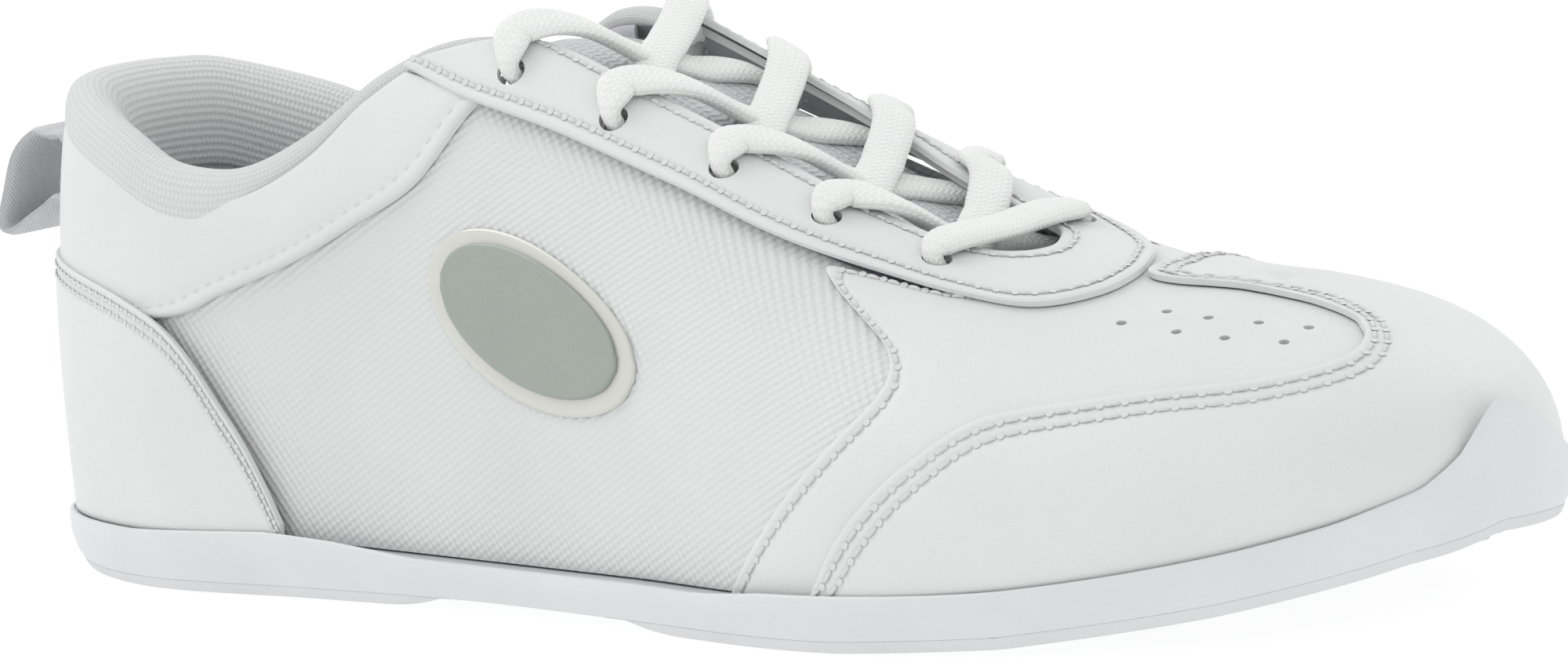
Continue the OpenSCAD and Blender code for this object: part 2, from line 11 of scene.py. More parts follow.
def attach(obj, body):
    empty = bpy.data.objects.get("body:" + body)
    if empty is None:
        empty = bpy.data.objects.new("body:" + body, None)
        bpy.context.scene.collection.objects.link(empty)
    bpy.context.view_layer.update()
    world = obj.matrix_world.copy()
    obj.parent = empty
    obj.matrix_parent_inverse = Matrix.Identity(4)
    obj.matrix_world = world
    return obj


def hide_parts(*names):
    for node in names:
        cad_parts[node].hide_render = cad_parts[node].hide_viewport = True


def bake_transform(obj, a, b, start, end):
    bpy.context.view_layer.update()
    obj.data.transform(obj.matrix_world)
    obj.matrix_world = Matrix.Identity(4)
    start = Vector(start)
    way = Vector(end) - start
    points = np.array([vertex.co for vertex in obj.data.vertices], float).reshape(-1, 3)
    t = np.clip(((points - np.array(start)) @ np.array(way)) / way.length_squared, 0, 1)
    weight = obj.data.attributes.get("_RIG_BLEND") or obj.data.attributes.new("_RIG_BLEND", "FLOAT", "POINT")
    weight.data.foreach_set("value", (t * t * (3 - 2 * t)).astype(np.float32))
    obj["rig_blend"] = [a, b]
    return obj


bl_info = {
    "name": "Cheer Shoe Maker",
    "version": (1, 0, 0),
    "blender": (4, 5, 0),
    "location": "3D View > Sidebar > Cheer Shoe",
    "description": "Makes the upper, sole, stitching, lining and lace of a low-cut cheer shoe",
    "category": "Add Mesh",
}

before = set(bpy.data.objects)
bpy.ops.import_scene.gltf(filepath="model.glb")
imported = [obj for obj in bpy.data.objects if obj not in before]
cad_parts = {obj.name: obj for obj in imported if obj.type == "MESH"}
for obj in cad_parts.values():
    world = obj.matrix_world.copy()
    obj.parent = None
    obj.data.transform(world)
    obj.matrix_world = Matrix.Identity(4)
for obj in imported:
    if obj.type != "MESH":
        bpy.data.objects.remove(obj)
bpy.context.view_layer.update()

# ---------------------------------------------------------------- the last
# x, outer half width, inner half width, feather height, ridge y, ridge height, fullness, belly (mm)
STATIONS = np.array([
    [0, 0, 0, 10, 0, 112, 2.3, 0.05],
    [9, 20, 20, 10, 0, 112, 2.3, 0.05],
    [34, 32, 31, 10, 0, 111, 2.3, 0.04],
    [70, 33, 32, 9, 0, 107, 2.4, 0.02],
    [106, 35, 32, 8, 1, 95, 2.3, 0.02],
    [142, 41, 36, 8, 3, 77, 2.1, 0.01],
    [178, 47, 43, 8, 8, 58, 2.1, 0],
    [212, 43, 45, 10, 14, 46, 2.2, 0],
    [241, 31, 40, 14, 17, 43, 2.3, 0],
    [260, 12, 26, 19, 18, 42, 2.3, 0],
    [265, -4, 4, 21, 17, 42, 2.2, 0],
], float)
N = 10
BODY_LENGTH = 265.0
SPINE_HEEL = 30.0
SPINE_TOE = 221.0
HOME = np.array([-125.0, 1.0, 0.0])
SKIN = 1.2
STEP = 1.5
TOP = 3.1
SWAP = [0, 2, 1, 3, 4, 5, 6, 7]
FLIP_SIGN = np.array([1, -1, -1, 1, 1, 1, 1, 1.0])
AROUND = np.concatenate([STATIONS[1:2, SWAP] * FLIP_SIGN, STATIONS, STATIONS[N - 1:N, SWAP] * FLIP_SIGN,
                         STATIONS[N - 2:N - 1, SWAP] * FLIP_SIGN])


def station(t):
    """Rows of the last at fractional stations t, smoothly joined."""
    t = np.asarray(t, float)
    i = np.minimum(np.floor(t).astype(int), N - 1)
    u = (t - i)[..., None]
    a, b, c, d = (AROUND[i + k] for k in range(4))
    return 0.5 * (2 * b + (c - a) * u + (2 * a - 5 * b + 4 * c - d) * u**2 + (3 * b - a - 3 * c + d) * u**3)


def spine(x):
    """Where the ridge stands for an outline point at x."""
    h, b = 2 * SPINE_HEEL, 2 * SPINE_TOE - BODY_LENGTH
    u, v = (h - x) / h, (x - b) / (BODY_LENGTH - b)
    toe = b + (SPINE_TOE - b) * (2 * v - v * v)
    return np.where(x < h, h - SPINE_HEEL * (2 * u - u * u), np.where(x > b, toe, x))


# How far the throat sinks at each station, in mm
THROAT = np.array([[3.2, 0], [3.7, 5.5], [4.15, 7], [4.7, 6.5], [5.2, 6], [5.7, 5], [6.2, 4], [6.45, 2.6],
                   [6.75, 1], [7, 0]])


def throat(t, q):
    """How far the throat sinks below the ridge, between the two rows of eyelets."""
    u = np.clip((np.degrees(q) - 58) / 26, 0, 1)
    return np.interp(t, THROAT[:, 0], THROAT[:, 1]) * u * u * (3 - 2 * u)


def body(s, p, d=0.0):
    """Points on the shoe body in mm: s round from the heel, p up in degrees, d outward."""
    s, p, d = np.broadcast_arrays(np.asarray(s, float), np.asarray(p, float), np.asarray(d, float))
    t = np.where(s < 0, -s, np.where(s > N, 2 * N - s, s))
    r = station(t)
    inner = ((s < 0) | (s > N)) ^ (p > 90)
    q = np.radians(np.clip(np.where(p > 90, 180 - p, p), 0, 90))
    c = np.stack([spine(r[..., 0]), r[..., 4]], -1)
    v = np.stack([r[..., 0], np.where(inner, r[..., 2], -r[..., 1])], -1) - c
    length = np.linalg.norm(v, axis=-1)
    g = np.cos(q) ** (2 / r[..., 6]) * (1 + r[..., 7] * np.sin(2 * q))
    w = c + v / length[..., None] * ((length + d) * g)[..., None]
    z = r[..., 3] + (r[..., 5] + d - r[..., 3]) * np.sin(q) ** (2 / r[..., 6])
    return np.concatenate([w, (z - throat(t, q))[..., None]], -1)


def edge(s, e, z):
    """Points e outside the feather line at height z, in mm."""
    w = body(s, 0.0, e)
    w[..., 2] = z
    return w


def feather(s):
    return body(s, 0.0)[..., 2]


def half(s):
    s = np.asarray(s, float)
    return np.where(s < 0, -s, np.where(s > N, 2 * N - s, s))


def under(s):
    """Height of the sole's underside."""
    return np.interp(half(s), [0, 6.2, 7, 8, 9, 10], [0, 0, 1.2, 5, 9.5, 11.5])


def lip(s):
    """How far the sole's wall climbs above the feather line."""
    return np.interp(half(s), [0, 2, 2.8, 3.2, 3.8, 5.4, 5.9, 6.4, 7, 8.6, 9.1, 9.45, 9.7, 9.85, 10],
                     [-0.3, 0, 1.6, 1.2, -0.3, -0.3, 1, 0.6, 0, 0, 1.2, 4, 7.6, 9.6, 10.4])


def along(points, a):
    """Smooth curve through a list of points at shares a of its length in points."""
    q = np.asarray(points, float)
    if q.ndim == 1:
        q = q[:, None]
    n = len(q) - 1
    q = np.concatenate([2 * q[:1] - q[1:2], q, 2 * q[-1:] - q[-2:-1]])
    t = np.clip(np.asarray(a, float), 0, 1) * n
    i = np.minimum(np.floor(t).astype(int), n - 1)
    u = (t - i)[..., None]
    a0, b, c, d = (q[i + k] for k in range(4))
    return 0.5 * (2 * b + (c - a0) * u + (2 * a0 - 5 * b + 4 * c - d) * u**2 + (3 * b - a0 - 3 * c + d) * u**3)


def mirror(points):
    return [[-s, p] for s, p in points]


# ---------------------------------------------------------------- pattern pieces
HEEL_LO = [[-2.88, 0], [-2.6, 0], [-2.2, 0], [-1.4, 0], [0, 0], [1.4, 0], [2.2, 0], [2.6, 0], [2.88, 0]]
HEEL_UP = [[-2.88, 0.8], [-2.62, 8], [-2.2, 16.3], [-1.4, 19.8], [0, 21], [1.4, 19.8], [2.2, 16.3], [2.62, 8],
           [2.88, 0.8]]
QUARTER_LO = [[0.12, 0], [1.1, 0], [2, 0], [2.7, 0], [3.2, 0], [3.7, 0], [4.2, 0], [4.8, 0], [5.3, 0], [5.9, 0]]
QUARTER_UP = [[0.12, 24], [1.2, 22], [2.2, 19.5], [2.8, 23.5], [3.4, 32], [3.95, 49.6], [4.6, 53.5], [5.4, 56],
              [6.1, 59], [6.8, 62]]
COLLAR_LO = [[0.12, 17], [1.2, 16.8], [2.2, 16.3], [2.6, 18.7], [3, 22.3], [3.35, 27.5], [3.72, 35.5],
             [4.0, 50]]
COLLAR_UP = [[0.12, 37], [1.0, 36], [1.8, 32], [2.3, 28], [2.7, 28], [3.1, 33.5], [3.4, 42.5], [3.6, 48.7]]
STAY_OUT = [[3.6, 49], [3.98, 48.5], [4.5, 51], [5, 53], [5.5, 54.5], [6, 57.5], [6.4, 59.5], [6.75, 62.8],
            [6.97, 71], [7.02, 78], [6.97, 85], [6.75, 95], [6.4, 109], [6, 120], [5.5, 124], [5, 127],
            [4.5, 129], [3.98, 131.5], [3.6, 131]]
STAY_IN = [[4.25, 64.5], [4.4, 66.2], [4.7, 68], [5.1, 70], [5.5, 71.5], [5.85, 72.4], [6.1, 73], [6.28, 75],
           [6.38, 78.5], [6.42, 83], [6.38, 87], [6.28, 91], [6.1, 95.5], [5.85, 99.5], [5.5, 104.5],
           [5.1, 111], [4.7, 114.5], [4.4, 116.5], [4.25, 117]]
EYES = [[4.15, 55.5], [4.68, 57.5], [5.22, 60], [5.7, 62.5], [6.2, 65]]
EYES_IN = [[4.15, 125], [4.68, 123], [5.22, 119.5], [5.7, 113.5], [6.2, 105]]
VAMP_LO = [[5.66, 0], [5.93, 13], [6.16, 25], [6.3, 34], [6.32, 40], [6.24, 45], [6.06, 49], [5.88, 52.5],
           [5.82, 55], [5.98, 56.8], [6.3, 59], [6.47, 63], [6.55, 72], [6.6, 83], [6.56, 92], [6.48, 103],
           [6.42, 112], [6.22, 118], [5.96, 121.5], [5.82, 124.5], [5.88, 127.5], [6.06, 131], [6.24, 135],
           [6.3, 144], [6.2, 155], [5.95, 167], [5.66, 180]]
VAMP_UP = [[6.45, 0], [6.62, 11], [6.9, 22], [7.4, 32], [8.4, 38], [9.1, 43], [9.35, 51], [9.42, 58],
           [9.35, 67], [9.1, 76], [8.5, 86], [7.7, 89], [7.3, 97], [7.25, 112], [7.2, 128], [7.0, 146], [6.7, 166],
           [6.45, 180]]
VENTS = [[7.24, 64.5], [7.63, 62.5], [8.0, 60], [8.45, 57], [7.45, 70.5], [7.8, 68.5],
         [8.25, 66.5], [8.7, 62.5]]
GUARD_LO = [6.13, 6.5, 6.9, 7.3, 7.9, 8.5, 9.1, 9.6, 9.9, 10.15, 10.45, 10.8, 11.2, 11.8, 12.3, 12.6, 12.8, 13,
            13.15, 13.4, 13.6, 13.87]
GUARD_UP = [[6.16, 1.5], [6.31, 11], [6.6, 24.5], [6.93, 35.5], [7.55, 41], [8.2, 42.2], [8.8, 45.5],
            [9.15, 53], [9.25, 58], [9.3, 62.5], [9.15, 70], [8.85, 77], [8.3, 82.5], [7.6, 83.5], [7.08, 82],
            [7.04, 90], [7.02, 100], [7, 120], [6.93, 144.5], [6.6, 155.5], [6.31, 169], [6.16, 178.5]]
LINING_LO = [[4.02, 0], [5, 0], [6, 0], [7, 0], [8, 0], [9, 0], [9.95, 0]]
LINING_UP = [[4.02, 46], [5, 50], [6, 54], [7, 60], [8, 62], [9, 60], [9.9, 58]]
RIM = np.array([[0, 37], [0.5, 36.8], [1, 36], [1.8, 32], [2.3, 28], [2.7, 28], [3.1, 33.5], [3.45, 43.8],
                [3.6, 48.3], [3.75, 52.7], [4, 58.5], [4.25, 64]])
LOOP = [[0, 3.5], [-3.5, 4], [-8, 0.5], [-11, -6], [-12.8, -11], [-11, -12.6], [-6.5, -10.4],
        [-2.5, -8.4], [0, -7]]
LOOP_WIDTH = 18.0
LOOP_THICK = 1.6


def rim(s):
    """The collar's edge in degrees up the body."""
    line = along(RIM, np.linspace(0, 1, 241))
    return np.interp(np.abs(s), line[:, 0], line[:, 1])


def sunk(s, p, d):
    """A point on the collar pad, which thins towards the throat."""
    fat = np.interp(np.abs(s), [0, 2.4, 3, 3.6, 3.95], [1, 0.9, 0.7, 0.45, 0.4])
    d = np.asarray(d, float)
    return body(s, p, -1.4 + (d + 1.4) * np.where(d < -1.4, fat, 1))


# ---------------------------------------------------------------- mesh helpers
def mesh_object(name, points_mm, faces, uv=None, raw=(), sharp=40.0):
    """A smooth mesh from points in mm; faces whose index is in raw take the second material."""
    points = (np.asarray(points_mm, float) + HOME) / 1000
    mesh = bpy.data.meshes.new(name)
    mesh.from_pydata(points.tolist(), [], [list(map(int, f)) for f in faces])
    mesh.validate()
    mesh.shade_smooth()
    mesh.set_sharp_from_angle(angle=math.radians(sharp))
    if uv is not None:
        layer = mesh.uv_layers.new(name="cloth")
        index = np.zeros(len(mesh.loops), int)
        mesh.loops.foreach_get("vertex_index", index)
        layer.data.foreach_set("uv", np.asarray(uv, float)[index].ravel())
    if len(raw):
        flags = np.zeros(len(mesh.polygons), int)
        flags[[r for r in raw if r < len(flags)]] = 1
        mesh.polygons.foreach_set("material_index", flags)
    made = bpy.data.objects.new(name, mesh)
    bpy.context.scene.collection.objects.link(made)
    return made


def outward(made):
    """Turns the faces of a closed mesh outward."""
    points = np.array([v.co for v in made.data.vertices])
    total = 0.0
    for f in made.data.polygons:
        k = list(f.vertices)
        for i in range(1, len(k) - 1):
            total += np.dot(points[k[0]], np.cross(points[k[i]], points[k[i + 1]]))
    if total < 0:
        made.data.flip_normals()
    return made


def grid_faces(rows, cols, start=0, flip=False, closed=False):
    """Quads between rows of points; closed joins the last column to the first."""
    out = []
    for i in range(rows - 1):
        for j in range(cols if closed else cols - 1):
            k = (j + 1) % cols
            a, b = start + i * cols, start + (i + 1) * cols
            f = [a + j, a + k, b + k, b + j]
            out.append(f[::-1] if flip else f)
    return out


def edge_shares(count, fine):
    """Shares from 0 to 1 with extra rows close to both ends."""
    inner = np.linspace(0, 1, count + 1)[1:-1]
    near = np.array([0, 0.12, 0.3, 0.55, 0.8]) * fine
    return np.unique(np.round(np.concatenate([near, 1 - near, inner[(inner > fine) & (inner < 1 - fine)]]), 6))


def rounded_drop(dist, radius):
    """How far a rolled edge falls away at a distance from the cut."""
    x = np.clip(1 - dist / radius, 0, 1)
    return radius * 0.55 * (1 - np.sqrt(np.clip(1 - x * x, 0, 1)))


ALL_SIDES = ("low", "end", "high", "start")


def leather_panel(name, columns, inner_d, outer_d, seams=(), roll=0.55, puff=0.0, raw_sides=ALL_SIDES):
    """A cut panel. columns is an array (rows, cols, 2) of s and p; seams are stitch rows sunk into it,
    as (side, distance in mm). Its edges roll over, puff swells its middle, and the cut shows the raw
    layer on raw_sides."""
    q = np.asarray(columns, float)
    rows, cols = q.shape[:2]
    flat = body(q[..., 0], q[..., 1], outer_d)
    down = np.linalg.norm(np.diff(flat, axis=1), axis=2)
    across = np.linalg.norm(np.diff(flat, axis=0), axis=2)
    v = np.concatenate([np.zeros((rows, 1)), np.cumsum(down, 1)], 1)
    u = np.concatenate([np.zeros((1, cols)), np.cumsum(across, 0)], 0)
    sides = {"low": v, "high": v[:, -1:] - v, "start": u, "end": u[-1:] - u}
    nearest = np.minimum.reduce(list(sides.values()))
    d = outer_d - rounded_drop(nearest, roll) + puff * np.clip(nearest / 6, 0, 1) ** 0.5
    for side, distance in seams:
        d = d - 0.28 * np.exp(-(((sides[side] - distance) / 0.75) ** 2))
    top = body(q[..., 0], q[..., 1], d).reshape(-1, 3)
    low = body(q[..., 0], q[..., 1], inner_d).reshape(-1, 3)
    n = rows * cols
    faces = grid_faces(rows, cols) + grid_faces(rows, cols, n, True)
    ring = [i * cols for i in range(rows)] + [(rows - 1) * cols + j for j in range(1, cols)]
    ring += [i * cols + cols - 1 for i in range(rows - 2, -1, -1)] + list(range(cols - 2, 0, -1))
    first = len(faces)
    faces += [[a, n + a, n + b, b] for a, b in zip(ring, ring[1:] + ring[:1])]
    uv = np.stack([u.mean(1)[:, None] + 0 * u, v], -1).reshape(-1, 2)
    lengths = {"low": rows - 1, "end": cols - 1, "high": rows - 1, "start": cols - 1}
    raw, k = [], first
    for side, count in lengths.items():
        raw += range(k, k + count) if side in raw_sides else []
        k += count
    points = np.concatenate([top, low])
    return outward(mesh_object(name, points, faces, np.concatenate([uv, uv]), raw))


def strip_columns(lo, up, n, m, fine=0.06):
    """The (s, p) grid between a lower and an upper pattern line."""
    a = edge_shares(n, 1.5 / n)
    low, high = along(lo, a), along(up, a)
    b = edge_shares(m, fine)
    return low[:, None] + (high - low)[:, None] * b[None, :, None]


def plan_point(q):
    """Which s and p on the toe lie under plan points q (mm)."""
    centre = np.array([spine(station(float(N))[0]), station(float(N))[4]])
    row = station(float(N))
    forward = np.array([row[0], row[2]]) - centre
    w = q - centre
    ridge_y = np.interp(q[:, 0], [142, 178, 206, 218, 221], [3, 8, 14, 17, 17])
    side = np.where(q[:, 0] > centre[0], np.where(forward[0] * w[:, 1] - forward[1] * w[:, 0] > 0, 1, -1),
                    np.where(q[:, 1] > ridge_y, 1, -1))
    lo, hi = np.full(len(q), 5.0), np.full(len(q), float(N))
    for _ in range(30):
        t = (lo + hi) / 2
        r = station(t)
        c = np.stack([spine(r[:, 0]), r[:, 4]], -1)
        v = np.stack([r[:, 0], np.where(side > 0, r[:, 2], -r[:, 1])], -1) - c
        f = -side * (v[:, 0] * (q - c)[:, 1] - v[:, 1] * (q - c)[:, 0])
        lo, hi = np.where(f > 0, t, lo), np.where(f > 0, hi, t)
    g = np.clip(np.sum((q - c) * v, -1) / np.sum(v * v, -1), 0, 1)
    return np.stack([np.where(side > 0, 2 * N - t, t), np.degrees(np.arccos(g ** (r[:, 6] / 2)))], -1)


def guard_columns(n, m):
    """The toe guard's grid: up from the sole to the window's edge, round the toe and over the ridge."""
    out = []
    b = edge_shares(m, 0.09)
    for a in edge_shares(n, 0.012):
        f = float(along(GUARD_LO, a)[0])
        w = along(GUARD_UP, a)
        if w[1] < 44 and f < 9:
            out.append(np.stack([f + (w[0] - f) * b, w[1] * b], -1))
        elif w[1] > 143:
            out.append(np.stack([f + (2 * N - w[0] - f) * b, (180 - w[1]) * b], -1))
        else:
            turn = math.radians(w[1] if f < N else max(180 - w[1], 60))
            c = (1 - np.cos(turn * b)) / (1 - math.cos(turn))
            wp, fp = body(w[0], w[1]), body(f, 0.0)
            q = plan_point(fp[None, :2] + (wp - fp)[None, :2] * c[:, None])
            q[0] = [f, 0]
            q[-1] = w
            out.append(q)
    return np.array(out)


def at(columns, side, distance, d):
    """Points and outward directions along a line inside a panel's edge, every half millimetre or so."""
    q = np.asarray(columns, float)
    if side == "high":
        q = q[:, ::-1]
    elif side in ("start", "end"):
        q = (q if side == "start" else q[::-1]).transpose(1, 0, 2)
    p = body(q[..., 0], q[..., 1], d)
    run = np.concatenate([np.zeros((len(p), 1)), np.cumsum(np.linalg.norm(np.diff(p, axis=1), axis=2), 1)], 1)
    line, up = [], []
    for i in range(len(p)):
        k = min(max(int(np.searchsorted(run[i], distance)), 1), len(run[i]) - 1)
        t = np.clip((distance - run[i][k - 1]) / max(run[i][k] - run[i][k - 1], 1e-6), 0, 1)
        line.append(p[i, k - 1] * (1 - t) + p[i, k] * t)
        i0, i1 = max(i - 1, 0), min(i + 1, len(p) - 1)
        up.append(np.cross(p[i1, k] - p[i0, k], p[i, k] - p[i, k - 1]))
    line, up = np.array(line), np.array(up)
    up /= np.maximum(np.linalg.norm(up, axis=1), 1e-9)[:, None]
    centre = np.array([130, 5, 25.0])
    up *= np.where(np.sum(up * (line - centre), 1) < 0, -1, 1)[:, None]
    return line, up


def resample(line, up, pitch):
    """Even steps along a line."""
    run = np.concatenate([[0], np.cumsum(np.linalg.norm(np.diff(line, axis=0), axis=1))])
    count = max(int(run[-1] / pitch), 1)
    t = np.linspace(0, run[-1], count + 1)
    out = np.stack([np.interp(t, run, line[:, k]) for k in range(3)], -1)
    ups = np.stack([np.interp(t, run, up[:, k]) for k in range(3)], -1)
    return out, ups / np.maximum(np.linalg.norm(ups, axis=1), 1e-9)[:, None]


STITCH_SINK = 0.12
STITCH_SHARE = 0.64
HOLE_SHARE = 0.85


def stitch_row(line, up, pitch, thick):
    """Vertices and faces of a row of stitches with a needle hole between each pair."""
    points, faces, hole_shade_faces = [], [], []
    path, ups = resample(line, up, pitch)
    for i in range(len(path) - 1):
        a, b, n = path[i], path[i + 1], ups[i]
        t = (b - a) / max(np.linalg.norm(b - a), 1e-9)
        w = np.cross(t, n)
        long = np.linalg.norm(b - a) * STITCH_SHARE
        base = len(points)
        for k in range(7):
            x = -1 + 2 * k / 6
            r = thick / 2 * math.sqrt(max(1 - x ** 4, 0.05))
            lift = -STITCH_SINK - thick * 0.35 * x * x
            c = (a + b) / 2 + t * x * long / 2 + n * (lift + thick * 0.25)
            for j in range(6):
                g = 2 * math.pi * j / 6
                points.append(c + w * r * math.cos(g) + n * r * 0.8 * math.sin(g))
        faces += grid_faces(7, 6, base, closed=True)
        faces.append([base + j for j in range(5, -1, -1)])
        faces.append([base + 36 + j for j in range(6)])
        # Each needle hole is a near-black disc with a cone sunk below it, lying on the surface: painted shade
        # standing in for the shade inside the hole.
        base = len(points)
        for j in range(8):
            g = 2 * math.pi * j / 8
            points.append(a + n * 0.03 + (t * math.cos(g) + w * math.sin(g)) * thick * HOLE_SHARE)
        points.append(a - n * 0.35)
        points.append(a + n * 0.05)
        for j in range(8):
            hole_shade_faces.append(len(faces))
            faces.append([base + j, base + (j + 1) % 8, base + 9])
            hole_shade_faces.append(len(faces))
            faces.append([base + (j + 1) % 8, base + j, base + 8])
    return points, faces, hole_shade_faces


def stitching(name, rows, pitch, thick):
    """One piece from several rows of stitches."""
    points, faces, hole_shade_faces = [], [], []
    for line, up in rows:
        p, f, h = stitch_row(line, up, pitch, thick)
        hole_shade_faces += [len(faces) + k for k in h]
        faces += [[len(points) + k for k in g] for g in f]
        points += p
    return mesh_object(name, points, faces, None, hole_shade_faces, 80)


def sweep(name, sections, sharp=40.0):
    """A closed skin through sections of points (k, m, 3) in mm."""
    q = np.asarray(sections, float)
    k, m = q.shape[:2]
    run = np.concatenate([[0], np.cumsum(np.linalg.norm(np.diff(q.mean(1), axis=0), axis=1))])
    girth = np.linalg.norm(np.diff(np.concatenate([q, q[:, :1]], 1), axis=1), axis=2).mean(0)
    round_ = np.concatenate([[0], np.cumsum(girth)])[:-1]
    uv = np.stack([np.broadcast_to(run[:, None], (k, m)), np.broadcast_to(round_[None], (k, m))], -1)
    faces = grid_faces(k, m, closed=True)
    faces += [list(range(m - 1, -1, -1)), [(k - 1) * m + j for j in range(m)]]
    return outward(mesh_object(name, q.reshape(-1, 3), faces, uv.reshape(-1, 2), (), sharp))


def cut(made, cutters):
    """Takes the cutters out of a piece and removes them."""
    for c in cutters:
        m = made.modifiers.new("cut", "BOOLEAN")
        m.operation = "DIFFERENCE"
        m.solver = "EXACT"
        m.object = c
    bpy.context.view_layer.objects.active = made
    for m in list(made.modifiers):
        bpy.ops.object.modifier_apply(modifier=m.name)
    for c in cutters:
        bpy.data.objects.remove(c)
    made.data.set_sharp_from_angle(angle=math.radians(40))
    return made


def punch(q, radius):
    """A punch that stands square through the upper at s, p."""
    a, n = body(q[0], q[1], 2.0), surface_normal(q)
    bpy.ops.mesh.primitive_cylinder_add(vertices=28, radius=radius / 1000, depth=0.016,
                                        location=Vector((a + HOME) / 1000))
    made = bpy.context.object
    made.rotation_mode = "QUATERNION"
    made.rotation_quaternion = Vector(n).to_track_quat("Z", "Y")
    return made


def surface_normal(q):
    n = np.cross(body(q[0] + 0.1, q[1]) - body(q[0] - 0.1, q[1]), body(q[0], q[1] + 2) - body(q[0], q[1] - 2))
    n /= np.linalg.norm(n)
    return n if np.dot(n, body(q[0], q[1], 1.0) - body(q[0], q[1], 0.0)) > 0 else -n


def paint(made, faces):
    """Gives the listed faces the piece's second finish."""
    flags = np.zeros(len(made.data.polygons), int)
    flags[faces] = 1
    made.data.polygons.foreach_set("material_index", flags)


def dress(made, slot, *materials, body_name="shoe"):
    """Gives a piece its finishes and the body it moves with."""
    made.data.materials.clear()
    for m in materials:
        made.data.materials.append(m)
    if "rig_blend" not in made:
        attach(made, body_name)
    return made


def sizes():
    return bpy.context.scene.cheer_shoe


# ---------------------------------------------------------------- finishes
class Nodes:
    """Small helper that wires shader nodes."""

    def __init__(self, name):
        self.material = bpy.data.materials.new(name)
        self.material.use_nodes = True
        self.tree = self.material.node_tree
        self.shader = self.tree.nodes["Principled BSDF"]

    def add(self, kind, inputs=None, **settings):
        node = self.tree.nodes.new(kind)
        for key, value in settings.items():
            setattr(node, key, value)
        for key, value in (inputs or {}).items():
            self.put(node.inputs[key], value)
        return node

    def put(self, socket, value):
        if isinstance(value, bpy.types.NodeSocket):
            self.tree.links.new(value, socket)
        else:
            socket.default_value = value

    def where(self, kind="Object"):
        return self.add("ShaderNodeTexCoord").outputs[kind]

    def math(self, operation, a, b=0.0):
        node = self.add("ShaderNodeMath", operation=operation)
        self.put(node.inputs[0], a)
        self.put(node.inputs[1], b)
        return node.outputs[0]

    def noise(self, scale, detail=3.0, vector=None):
        place = vector or self.where()
        return self.add("ShaderNodeTexNoise", {"Vector": place, "Scale": scale, "Detail": detail})

    def blend(self, factor, a, b):
        node = self.add("ShaderNodeMix", data_type="RGBA")
        self.put(node.inputs[0], factor)
        self.put(node.inputs[6], a)
        self.put(node.inputs[7], b)
        return node.outputs[2]

    def bump(self, height, strength, distance):
        out = self.add("ShaderNodeBump", {"Height": height, "Strength": strength, "Distance": distance})
        self.put(self.shader.inputs["Normal"], out.outputs[0])
        return out


def tone(colour, k):
    return (min(colour[0] * k, 1), min(colour[1] * k, 1), min(colour[2] * k, 1), 1)


def grain(n, scale, strength, extra=None):
    """Fine hide grain: pebbles broken up by noise."""
    cells = n.add("ShaderNodeTexVoronoi", {"Vector": n.where(), "Scale": scale}, feature="DISTANCE_TO_EDGE")
    height = n.math("ADD", n.math("MULTIPLY", n.math("MINIMUM", cells.outputs["Distance"], 0.2), 2.0),
                    n.math("MULTIPLY", n.noise(scale * 0.35, 4).outputs[0], 0.7))
    height = n.math("ADD", height, n.math("MULTIPLY", n.noise(90, 3).outputs[0], 1.6))
    if extra is not None:
        height = n.math("ADD", height, extra)
    n.bump(height, strength, 0.0004)


def leather(name, colour, rough, scale=1500, strength=0.16, extra=None):
    n = Nodes(name)
    spots = n.noise(26, 5).outputs[0]
    patches = n.add("ShaderNodeMapRange", {"Value": spots, "From Min": 0.3, "From Max": 0.7})
    n.put(n.shader.inputs["Base Color"], n.blend(patches.outputs[0], tone(colour, 0.955), tone(colour, 1.02)))
    worn = n.math("ADD", rough - 0.06, n.math("MULTIPLY", n.noise(60, 4).outputs[0], 0.14))
    n.put(n.shader.inputs["Roughness"], worn)
    n.shader.inputs["Coat Weight"].default_value = 0.12
    n.shader.inputs["Coat Roughness"].default_value = 0.35
    n.shader.inputs["Subsurface Weight"].default_value = 0.06
    n.shader.inputs["Subsurface Radius"].default_value = (0.002, 0.002, 0.002)
    n.shader.inputs["Subsurface Scale"].default_value = 1.0
    grain(n, scale, strength, extra(n) if extra else None)
    return n.material


def pips(n, pitch_mm, across="Object"):
    """Diagonal rows of small embossed pips, seen from the side."""
    xyz = n.add("ShaderNodeSeparateXYZ", {"Vector": n.where(across)})
    k = 2 * math.pi / (pitch_mm / 1000)
    x = n.math("MULTIPLY", xyz.outputs["X"], k)
    z = n.math("MULTIPLY", xyz.outputs["Z"], k)
    a = n.math("SINE", n.math("ADD", n.math("MULTIPLY", x, 0.8), n.math("MULTIPLY", z, 0.6)))
    b = n.math("SINE", n.math("SUBTRACT", n.math("MULTIPLY", x, 0.5), n.math("MULTIPLY", z, 0.87)))
    return n.math("MULTIPLY", n.math("ADD", a, b), 0.9)


